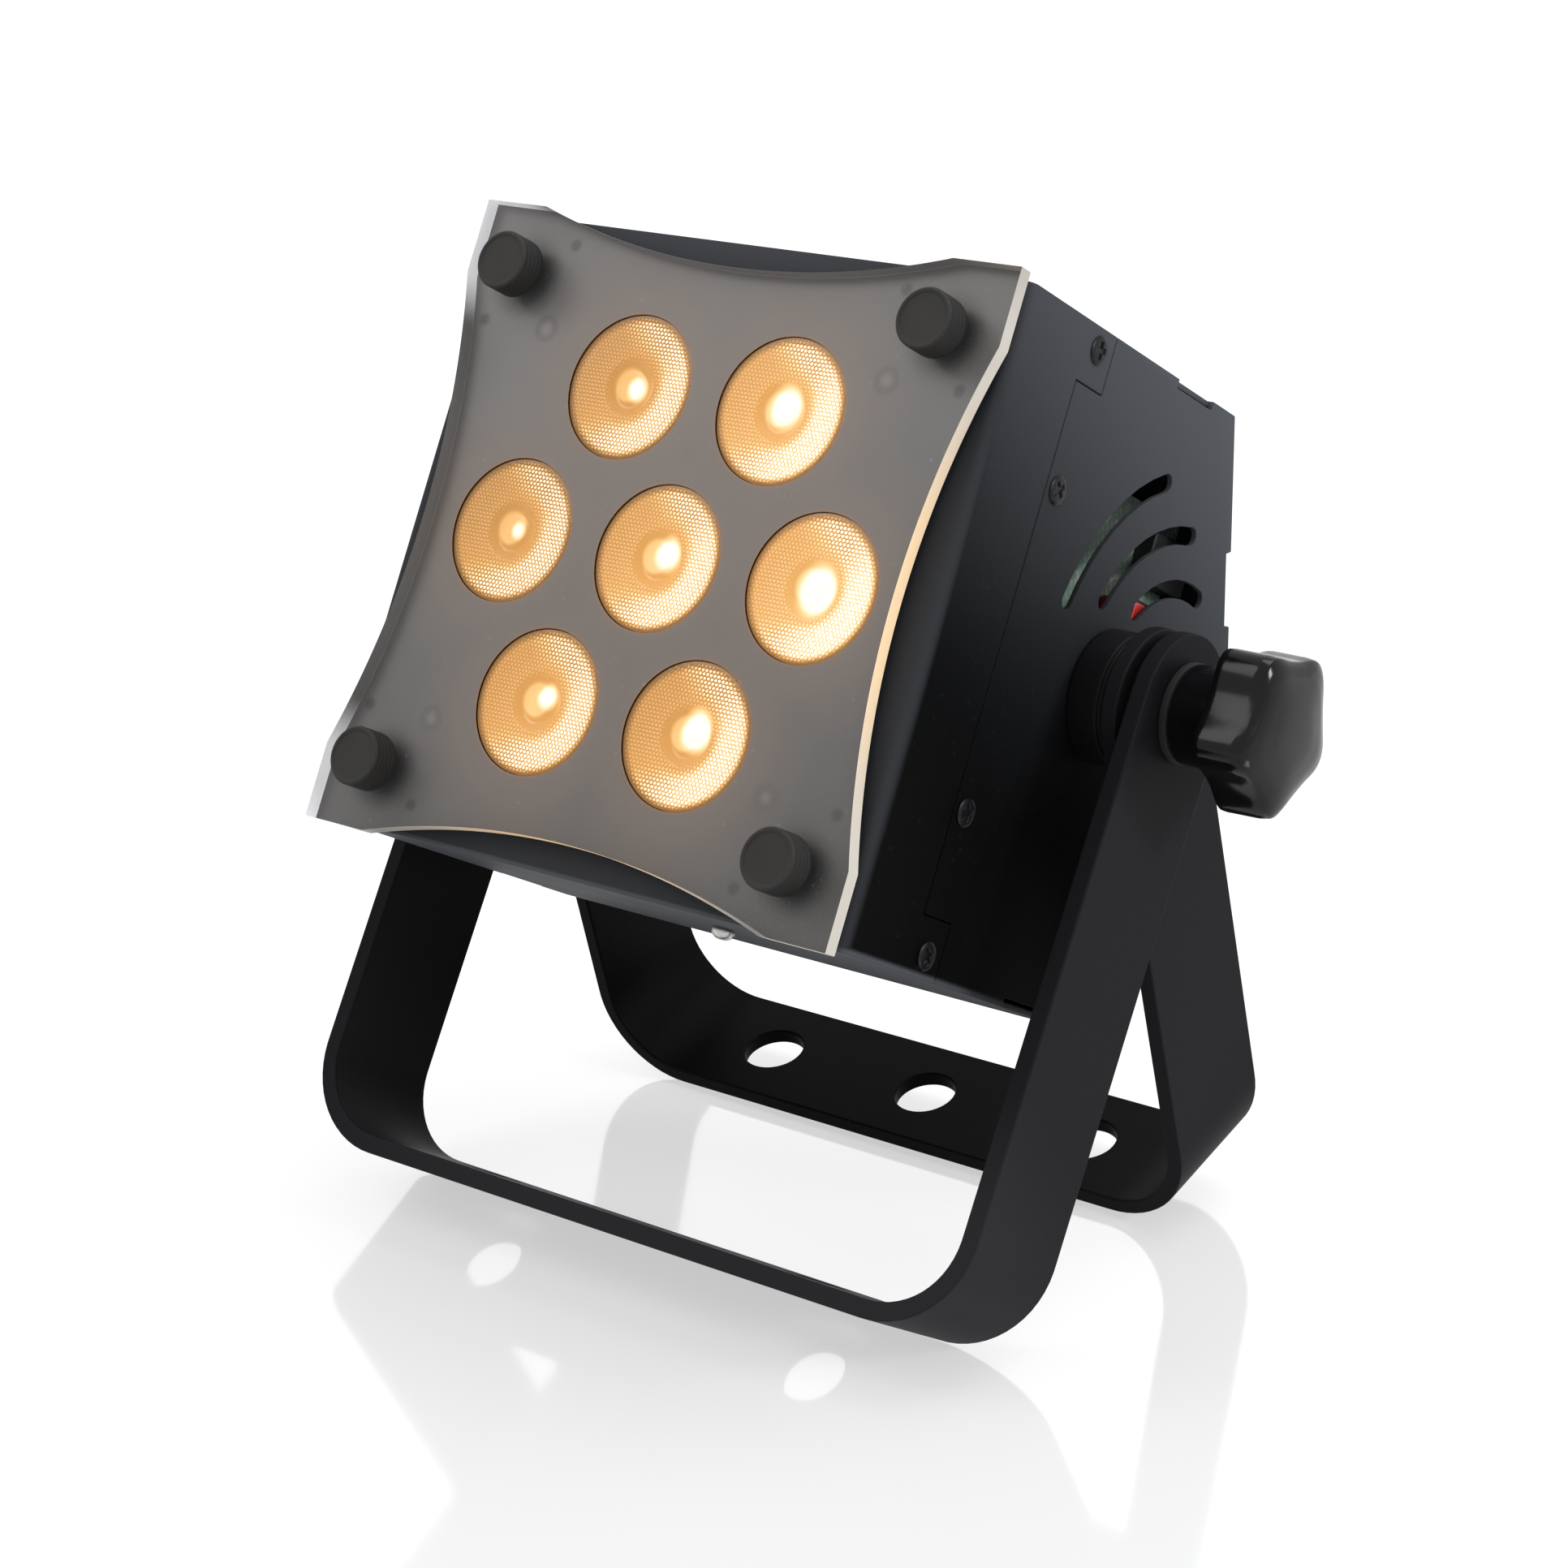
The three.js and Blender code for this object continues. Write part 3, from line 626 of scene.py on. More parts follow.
def holed_square(half, hole, count, round_side=0):
    """A flat square with a round hole, as a grid: from the hole's rim outwards to points spread evenly
    along the square's sides. Where round_side is 1 or -1, that half of the outline is a half circle."""
    side = np.linspace(-half, half, count, endpoint=False)
    fixed = np.full(count, half)
    u = np.concatenate([side, fixed, -side, -fixed])
    v = np.concatenate([-fixed, side, fixed, -side])
    size = np.hypot(u, v)
    if round_side:
        shrink = np.where(u * round_side > 0, half / size, 1)
        u, v, size = u * shrink, v * shrink, size * shrink
    part = np.array([0, 0.08, 0.45, 1])[:, None]
    radial = (hole + (size - hole) * part) / size
    return np.stack([u * radial, v * radial], -1)


# ---- Brackets ---------------------------------------------------------------------------------------
BEND_RADIUS = 26.0  # outside of the bend
CLAMP_HOLE = 8.8
END_HOLE = 4.4
SIDE_STEPS = 12  # steps across the bar, in the squares and the strips alike
STRIP_STEP = 2.6
FRONT_BAR = {"thick": 4.9, "outside": 109.0, "reach": 167.4, "holes": [-55, 55]}
REAR_BAR = {"thick": 4.4, "outside": 101.2, "reach": 155.416, "holes": [-55, 0, 55]}


def bent_bar(thick, outside, reach, holes, width):
    """The middle layer of a flat bar bent into a U.

    A point of the flat bar is (s, w): s along it from the middle of its base, w across it. Bending takes s
    along the base, round a quarter circle and up an arm, and leaves w alone. The flat bar is made of
    squares with a round hole, rounded at the arm ends, and of plain strips between them.
    """
    half = width / 2
    flat = outside - BEND_RADIUS
    bend = BEND_RADIUS - thick / 2
    quarter = bend * math.pi / 2
    end = flat + quarter + reach - BEND_RADIUS

    def bent(s, w):
        away = np.abs(s)
        turn = np.clip((away - flat) / bend, 0, math.pi / 2)
        x = np.minimum(away, flat) + bend * np.sin(turn)
        z = thick / 2 - reach + bend * (1 - np.cos(turn)) + np.maximum(away - flat - quarter, 0)
        return np.stack([np.sign(s) * x, w, z], -1)

    spots = [(-end, END_HOLE, -1)] + [(x, CLAMP_HOLE, 0) for x in holes] + [(end, END_HOLE, 1)]
    squares = []
    for centre, hole, round_side in spots:
        square = holed_square(half, hole, SIDE_STEPS, round_side)
        squares.append(bent(square[..., 0] + centre, square[..., 1]))
    strips = []
    for (left, _, _), (right, _, _) in zip(spots, spots[1:]):
        along = np.linspace(left + half, right - half, 2 + int((right - left - width) / STRIP_STEP))
        strips.append(bent(*np.meshgrid(along, np.linspace(-half, half, SIDE_STEPS + 1), indexing="ij")))
    return squares, strips


class PARLIGHT_OT_brackets(bpy.types.Operator):
    """Bends the two flat-bar brackets, with their clamp holes and round arm ends"""

    bl_idname = "parlight.brackets"
    bl_label = "Brackets"

    def execute(self, context):
        sizes, colours = chosen(context)
        finish = bracket_finish(colours)
        for node, bar, lean in (
            ("front_bracket", FRONT_BAR, sizes.front_lean),
            ("rear_bracket", REAR_BAR, -sizes.rear_lean),
        ):
            squares, strips = bent_bar(**bar, width=sizes.bar_width / MM)
            patches = [in_row(patch, lean, sizes) for patch in closed_ring(squares) + strips]
            piece = mesh_object(f"{node}_bar", patches, [finish], closed=False)
            thicken(piece, bar["thick"], sizes.bar_edge / MM)
            belongs(piece, node, [node], "powder_black")
        return {"FINISHED"}


# ---- Head -------------------------------------------------------------------------------------------
class PARLIGHT_OT_housing(bpy.types.Operator):
    """Finishes the bent sheet shells: welds each solid's skin, rounds its edges and coats it"""

    bl_idname = "parlight.housing"
    bl_label = "Housing"

    def execute(self, context):
        finish = housing_finish(*chosen(context))
        for node in ("front_shell", "rear_shell"):
            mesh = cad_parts[node].data.copy()
            mesh.materials.clear()
            piece = linked(f"{node}_sheet", mesh, [finish], solid=False, sharp=25)
            built = bmesh.new()
            built.from_mesh(piece.data)
            flat = math.radians(0.5)
            bmesh.ops.dissolve_limit(built, angle_limit=flat, verts=built.verts, edges=built.edges)
            built.to_mesh(piece.data)
            built.free()
            round_edges(piece, 0.3)
            belongs(piece, "head", [node], "housing_black")
        return {"FINISHED"}


class PARLIGHT_OT_front_plate(bpy.types.Operator):
    """Cuts the smoked plate with its four curved edges and straight corner tabs"""

    bl_idname = "parlight.front_plate"
    bl_label = "Smoked plate"

    def execute(self, context):
        sizes, colours = chosen(context)
        finishes = [plate_finish(sizes, colours), plate_edge_finish(sizes, colours)]
        piece = mesh_object("smoked_plate_sheet", [self.middle_layer(sizes)], finishes, closed=False)
        thicken(piece, PLATE_THICK, 0.25, rim=1)
        belongs(piece, "head", ["smoked_plate"], "smoked_acrylic")
        return {"FINISHED"}

    def middle_layer(self, sizes):
        """A square net of points drawn in towards its edges: at (u, v) the point is u times the half
        width, less the square of u times the depth of the edge's curve at height v, and likewise for v."""
        half, curve = sizes.plate_half / MM, sizes.plate_curve / MM
        chord = half - PLATE_TAB
        radius = (chord**2 + curve**2) / (2 * curve)

        def depth(along):
            """Depth of an edge's arc, which is the whole curve in the middle and nothing from the tabs on."""
            inside = np.minimum(np.abs(along), chord)
            return curve - radius + np.sqrt(radius**2 - inside**2)

        tab = np.linspace(chord, half, 5)
        line = np.concatenate([-tab[::-1], np.linspace(-chord, chord, 41)[1:-1], tab]) / half
        u, v = np.meshgrid(line, line, indexing="ij")
        x = u * half - np.sign(u) * u**2 * depth(v * half)
        z = v * half - np.sign(v) * v**2 * depth(u * half)
        middle = PLATE_FRONT + PLATE_THICK / 2
        return on_head(np.stack([x, np.full_like(x, middle), z], -1), sizes)


class PARLIGHT_OT_thumb_screws(bpy.types.Operator):
    """Turns and knurls the four thumb screws in the plate's corners"""

    bl_idname = "parlight.thumb_screws"
    bl_label = "Thumb screws"

    def execute(self, context):
        sizes, colours = chosen(context)
        finish = moulded_finish("matte_black_plastic", colours.plastic, 0.6, 0.3, 1300, 0.14)
        for corner, (right, up) in CORNERS.items():
            centre = (right * THUMB_OFFSET, 0, up * THUMB_OFFSET)
            points = on_head(self.knurled() + centre, sizes)
            piece = mesh_object(f"thumb_head_{corner}", [points], [finish], sharp=30)
            body = f"thumb_screw_{corner}"
            belongs(piece, body, [body], "black_plastic")
        return {"FINISHED"}

    def knurled(self, radius=7.9, front=-96.4, back=-88.2, shank_end=-73, teeth=72, pitch=0.69, depth=0.28):
        """A turned head whose side is cut by two sets of slanting grooves: the cut at angle a and
        station y is the larger of two triangle waves, of teeth a / 2 pi plus and minus y over a pitch."""
        count, rows = 432, 27
        stations = np.linspace(front + 0.5, back - 0.4, rows)
        dish = front + 0.35
        face = [(0, dish), (radius - 1.6, dish), (radius - 1.2, front), (radius - 0.6, front)]
        profile = np.vstack([
            softened(face, 0.3),
            np.column_stack([np.full(rows, radius), stations]),
            softened([(radius - 0.5, back), (2, back), (2, shank_end), (0, shank_end)], 0.3),
        ])
        points = turned(profile, count)
        around = np.linspace(0, teeth, count, endpoint=False)
        station = profile[:, 1, None] / pitch
        wave = np.stack([around + station, around - station])
        cut = np.abs(2 * (wave - np.floor(wave)) - 1).max(0)
        on_side = (profile[:, 0] == radius)[:, None]
        shrink = 1 - depth / radius * cut * on_side
        return points * np.stack([shrink, np.ones_like(shrink), shrink], -1)


def lens_spots(pitch):
    """The middle lens and the six round it, in the order of the CAD nodes lens_1 to lens_7."""
    around = np.arange(6) * math.pi / 3
    ring = np.column_stack([np.cos(around), np.sin(around)]) * pitch
    return np.vstack([[0, 0], ring])


class PARLIGHT_OT_lenses(bpy.types.Operator):
    """Moulds the seven lenses, beaded round a smooth hollow, and lights them from the middle"""

    bl_idname = "parlight.lenses"
    bl_label = "Lenses"

    def execute(self, context):
        sizes, colours = chosen(context)
        finish = lens_finish(colours)
        spread = np.random.default_rng(7).uniform(-1, 1, (7, 3))
        pitch = sizes.lens_pitch / MM
        for i, (x, z) in enumerate(lens_spots(pitch)):
            points, glow = self.beaded(sizes, x / pitch, spread[i])
            points = on_head(points + (x, 0, z), sizes)
            piece = mesh_object(f"lens_{i + 1}_cell", [points], [finish], glow=glow, sharp=60)
            belongs(piece, "head", [f"lens_{i + 1}"], "amber_lens")
        return {"FINISHED"}

    def beaded(self, sizes, side, spread):
        """The lens as a turned surface whose front is lifted by beads, and its glow.

        A bead is a paraboloid about the nearest point of a triangular lattice, which is the nearer of two
        rectangular ones. The front is flat but for a smooth hollow in the middle with a low dome in it.
        The glow is a ground, darker away from the lit side as painted shade, with a painted highlight as a
        crescent on the lit side, a pale disc in the middle and the beads as bright dots on it. It goes to 1
        at the hot spot and is dark at the rim. side is the lens's place across the plate, from -1 to 1, and
        spread three small shifts of its own.
        """
        radius, pitch = sizes.lens_radius / MM, sizes.bead_pitch / MM
        front = np.linspace(0, radius, 66)
        behind = np.array([(radius, -80.6), (9, -64.8), (3.8, -64.6), (3.6, -66.8), (0, -67)])
        profile = np.vstack([np.column_stack([front, np.full(front.size, LENS_FRONT)]), behind])
        points = turned(profile, 360)
        x, z = points[..., 0], points[..., 2]
        away = profile[:, 0, None] / radius
        on_front = (np.arange(len(profile)) < front.size)[:, None]

        cell = np.array([pitch, pitch * math.sqrt(3)])
        flat = np.stack([x, z], -1) / cell
        both = np.stack([flat, flat + 0.5])
        nearest = np.linalg.norm((both - np.round(both)) * cell, axis=-1).min(0)
        bead = np.clip(1 - (nearest / (0.56 * pitch)) ** 2, 0, 1)
        beaded_part = smooth(away, 0.34, 0.46) * smooth(away, 0.99, 0.96)
        hollow = 1.3 * smooth(away, 0.42, 0.26) - 0.9 * np.clip(1 - (away / 0.22) ** 2, 0, 1)
        points[..., 1] += on_front * (hollow - 0.22 * bead * beaded_part)

        lit_side = (0.86 * x - 0.5 * z) / radius
        low_side = (0.35 * x - 0.94 * z) / radius
        high_side = (0.62 * x + 0.78 * z) / radius
        belt = smooth(away, 0.42, 0.6) * smooth(away, 1.0, 0.9)
        # painted highlight: a crescent on the lit side
        crescent = smooth(lit_side, -0.05, 0.7) * belt
        beads = np.maximum(smooth(low_side, 0.2, 0.75), smooth(high_side, 0.25, 0.8)) * belt
        # painted shade: the ground darker away from the lit side
        back_side = smooth(lit_side, 0.1, -0.9)
        rim = smooth(away, 1.0, 0.86)
        spot_x, spot_z = (2.0 + 1.2 * spread[0]) / radius, (0.4 + 1.6 * spread[1]) / radius
        spot = np.hypot((x / radius - spot_x) * 1.15, z / radius - spot_z)
        hot = smooth(spot, 0.3 + 0.14 * side, 0.1 + 0.06 * side)
        disc = smooth(np.hypot(x / radius + 0.06, z / radius - 0.04), 0.27, 0.2)
        ground = 0.4 + 0.04 * side + 0.04 * spread[2] - 0.07 * back_side
        glow = ground + (0.24 + 0.1 * side) * crescent + 0.15 * disc
        dots = smooth(bead, 0.25, 0.85)
        glow += beaded_part * (dots - 0.35) * (0.14 + 0.75 * np.maximum(beads, crescent))
        glow = glow + (1 - glow) * hot * (0.85 + 0.15 * side)
        glow = np.clip(glow, 0, 1) * (0.36 + 0.64 * rim)
        return points, np.where(on_front, glow, 0.1)


def smooth(value, low, high):
    """Goes from 0 at low to 1 at high along the curve 3 t squared less 2 t cubed. low may be the greater."""
    t = np.clip((value - low) / (high - low), 0, 1)
    return t * t * (3 - 2 * t)


def cross_head(radius, dome, height, slot=0.55, slot_reach=2.1, slot_depth=1.1):
    """A screw head from the front, as radii and angles: a low dome with a cross cut into it, whose depth
    falls off smoothly outside half a slot's width of either arm and beyond the arms' reach."""
    around = np.linspace(0, 2 * math.pi, 72, endpoint=False)
    away = np.linspace(0, 1, 22)[:, None]
    a, b = radius * away * np.cos(around), radius * away * np.sin(around)

    def arm(across, along):
        inside = smooth(np.abs(across), slot + 0.22, slot - 0.12)
        return inside * smooth(np.abs(along), slot_reach + 0.3, slot_reach - 0.3)

    cut = np.maximum(arm(a, b), arm(b, a)) * slot_depth * (1 - 0.25 * away)
    return a, b, height + dome * (1 - away**2) - dome * 0.6 * smooth(away, 0.85, 1) - cut


class PARLIGHT_OT_side_screws(bpy.types.Operator):
    """Makes the cross-slot screws in the head's sides and the domed screw below it"""

    bl_idname = "parlight.side_screws"
    bl_label = "Screws"

    SPOTS = {
        "tab_screw_{}_top": (-45.8, 77.3),
        "tab_screw_{}_bottom": (-45.8, -77.3),
        "seam_screw_{}_top": (-46.5, 41.1),
        "seam_screw_{}_bottom": (-46.5, -41.1),
    }
    BOTTOM_SPOT = (20, -40, UNDERSIDE)

    def execute(self, context):
        sizes, colours = chosen(context)
        finish = metal_finish("blackened_steel", colours.steel, 0.3)
        turns = np.random.default_rng(3).uniform(0, math.pi / 2, 8)
        names = [(side, spot) for side in SIDES for spot in self.SPOTS]
        for turn, (side, spot) in zip(turns, names):
            node = spot.format(side)
            y, z = self.SPOTS[spot]
            points = self.side_screw(turn) * (SIDES[side], 1, 1) + (0, y, z)
            piece = mesh_object(f"{node}_head", [on_head(points, sizes)], [finish], sharp=50)
            belongs(piece, "head", [node], "screw_steel")
        profile = [(0, -3.2), (1.6, -3.05), (2.6, -2.3), (3, -1.4), (3, -0.3), (0, -0.3)]
        dome = turned(softened(profile, 0.5, 4), 48)[..., [0, 2, 1]] + self.BOTTOM_SPOT
        row = on_head(dome, sizes)
        piece = mesh_object("bottom_screw_head", [row], [bright_steel()], sharp=50)
        belongs(piece, "head", ["bottom_screw"], "screw_steel")
        return {"FINISHED"}

    def side_screw(self, turn):
        """A cross-slot head whose axis is X, turned by an angle, closed behind by a flat back."""
        a, b, height = cross_head(3.6, 0.25, HOUSING_HALF + 0.55)
        skirt = a[-1:] * 1.03, b[-1:] * 1.03, np.full_like(a[-1:], HOUSING_HALF + 0.3)
        back = skirt[0] * 0, skirt[1] * 0, skirt[2]
        a, b, height = (np.vstack(rows) for rows in zip((a, b, height), skirt, back))
        c, s = math.cos(turn), math.sin(turn)
        return np.stack([height, a * c - b * s, a * s + b * c], -1)


class PARLIGHT_OT_pivots(bpy.types.Operator):
    """Turns the bosses and washers between the head, the brackets and the knobs"""

    bl_idname = "parlight.pivots"
    bl_label = "Pivots"

    # node: outer radius, from, to, edge rounding
    RINGS = {
        "side_boss": (17.5, 84.8, 96.2, 1.0),
        "arm_washer": (12.0, 101.5, 103.8, 0.3),
        "knob_washer": (13.0, 109.3, 111.4, 0.4),
    }
    BORE = 4.3

    def execute(self, context):
        sizes, colours = chosen(context)
        # painted shade: the bosses take a deeper black than the other black plastic, for the shade between
        # the head and the arms
        plastic = moulded_finish("boss_shaded_black_plastic", (0.004, 0.004, 0.005), 0.5, 0.12, 1900, 0.05)
        rubber = soft_rubber()
        for ring, (radius, start, stop, edge) in self.RINGS.items():
            finish, slot = (plastic, "black_plastic") if ring == "side_boss" else (rubber, "black_rubber")
            outline = [(self.BORE, (start + stop) / 2), (self.BORE, start), (radius, start)]
            if ring == "side_boss":
                lip = stop - 2.4
                outline += [(radius, lip), (radius - 0.8, lip + 0.3), (radius - 0.8, stop)]
            else:
                outline += [(radius, stop)]
            outline += [(self.BORE, stop), (self.BORE, (start + stop) / 2)]
            points = turned(softened(outline, edge), 96, "x")
            for side, sign in SIDES.items():
                row = on_head(points * (sign, 1, 1), sizes)
                piece = mesh_object(f"{ring}_{side}_ring", [row], [finish])
                belongs(piece, "head", [f"{ring}_{side}"], slot)
        return {"FINISHED"}


class PARLIGHT_OT_clamp_knobs(bpy.types.Operator):
    """Moulds the two star knobs: a round hub, a five-lobed grip and a domed face"""

    bl_idname = "parlight.clamp_knobs"
    bl_label = "Star knobs"

    def execute(self, context):
        sizes, colours = chosen(context)
        finish = moulded_finish("polished_black_plastic", colours.knob, 0.07, 0.2, 240, 0.1)
        for side, sign in SIDES.items():
            row = on_head(self.star(sizes) * (sign, 1, 1), sizes)
            piece = mesh_object(f"star_knob_{side}", [row], [finish], sharp=50)
            node = f"clamp_knob_{side}"
            belongs(piece, node, [node], "gloss_black")
        return {"FINISHED"}

    def star(self, sizes, lobes=5, first=math.radians(-23.4)):
        """Rings along X. Each has a station, a size and a share of star: its radius is the size times the
        sum of the mean radius and the share of the swing times a wave. The wave is the cosine of the
        lobes' angle plus a little of the cosine of twice it, which sharpens the crests."""
        mean, swing = sizes.knob_mean / MM, sizes.knob_swing / MM
        hub = 12.8 / mean
        rings = softened([
            (111.7, 0, 0), (111.7, hub, 0), (124, hub, 0), (124.3, 0.72, 0.5), (124, 0.86, 1),
            (124.2, 0.99, 1), (126, 1.0, 1), (135.4, 1.0, 0.95), (138, 0.985, 0.85), (139.2, 0.9, 0.7),
            (140.3, 0.72, 0.5), (141.2, 0.4, 0.2), (141.5, 0, 0),
        ], 0.45, 4)
        around = np.linspace(0, 2 * math.pi, 200, endpoint=False)
        wave = np.cos(lobes * (around - first))
        wave = wave + 0.12 * np.cos(2 * lobes * (around - first))
        station, size, share = rings.T[:, :, None]
        radius = size * (mean + swing * share * wave)
        along = np.broadcast_to(station, radius.shape)
        return np.stack([along, -radius * np.sin(around), radius * np.cos(around)], -1)


# ---- Driver parts and rear panel --------------------------------------------------------------------
def soft_box(low, high, power=0.16):
    """A block with rounded edges: the point at angles u and v is the half size times cos v cos u, cos v
    sin u and sin v, each raised to a small power with its sign kept, which flattens a sphere's sides."""
    low, high = np.array(low, float), np.array(high, float)
    v = np.linspace(-math.pi / 2, math.pi / 2, 33)[:, None]
    u = np.linspace(0, 2 * math.pi, 64, endpoint=False)

    def flattened(value):
        return np.sign(value) * np.abs(value) ** power

    across, up = flattened(np.cos(v)), flattened(np.sin(v))
    ball = np.stack([across * flattened(np.cos(u)), across * flattened(np.sin(u)), up + 0 * u], -1)
    return (low + high) / 2 + ball * (high - low) / 2


class PARLIGHT_OT_driver_parts(bpy.types.Operator):
    """Puts the parts that the vents show on the driver board"""

    bl_idname = "parlight.driver_parts"
    bl_label = "Driver parts"

    PARTS = {
        "driver_choke": ((71.7, 17, 34), (77, 38, 48), "black"),
        "driver_chip": ((71.7, 15, -8), (77.5, 36, 29), "black"),
        "driver_fuse_link": ((71.7, 7, 17), (82.4, 13, 27), "red"),
        "driver_capacitor": ((71.7, -12, -40), (80, 2, -24), "black"),
    }

    def execute(self, context):
        sizes = context.scene.par_light_sizes
        finishes = {
            "black": moulded_finish("black_epoxy", (0.012, 0.012, 0.013), 0.45, 0.4, 1200, 0.05),
            "red": moulded_finish("red_epoxy", (0.32, 0.012, 0.01), 0.3, 0.5, 900, 0.05),
        }
        for name, (low, high, shade) in self.PARTS.items():
            row = on_head(soft_box(low, high), sizes)
            piece = mesh_object(name, [row], [finishes[shade]])
            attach(piece, "head")
        return {"FINISHED"}


SLOPE = math.atan2(REAR_RIDGE - REAR_EDGE, REAR_HALF)  # the rear walls' angle to the upright
SLOPE_MIDDLE = ((REAR_RIDGE + REAR_EDGE) / 2, REAR_HALF / 2)


def on_slope(points, upper):
    """Takes a point drawn on a flat wall, whose outer face is Y = 0, to the upper or lower rear wall."""
    x, y, z = np.moveaxis(np.asarray(points, float), -1, 0)
    sign = 1 if upper else -1
    c, s = math.cos(SLOPE), sign * math.sin(SLOPE)
    return np.stack([x, y * c - z * s + SLOPE_MIDDLE[0], y * s + z * c + sign * SLOPE_MIDDLE[1]], -1)


def framed(half_x, half_z, profile, corner=2.5, count=12):
    """A profile carried round a rectangle with rounded corners: each (inset, station) of the profile
    gives the outline of a rectangle that much smaller, at that station along Y."""
    quarter = np.linspace(0, math.pi / 2, count)
    around = np.concatenate([quarter + i * math.pi / 2 for i in range(4)])
    corner_x = np.repeat([1, -1, -1, 1], count)
    corner_z = np.repeat([1, 1, -1, -1], count)
    inset, station = np.array(profile, float).T[:, :, None]
    radius = np.maximum(corner - inset, 0.2)
    x = corner_x * np.maximum(half_x - inset - radius, 0) + radius * np.cos(around) * (inset < half_x)
    z = corner_z * np.maximum(half_z - inset - radius, 0) + radius * np.sin(around) * (inset < half_z)
    return np.stack([x, np.broadcast_to(station, x.shape), z], -1)


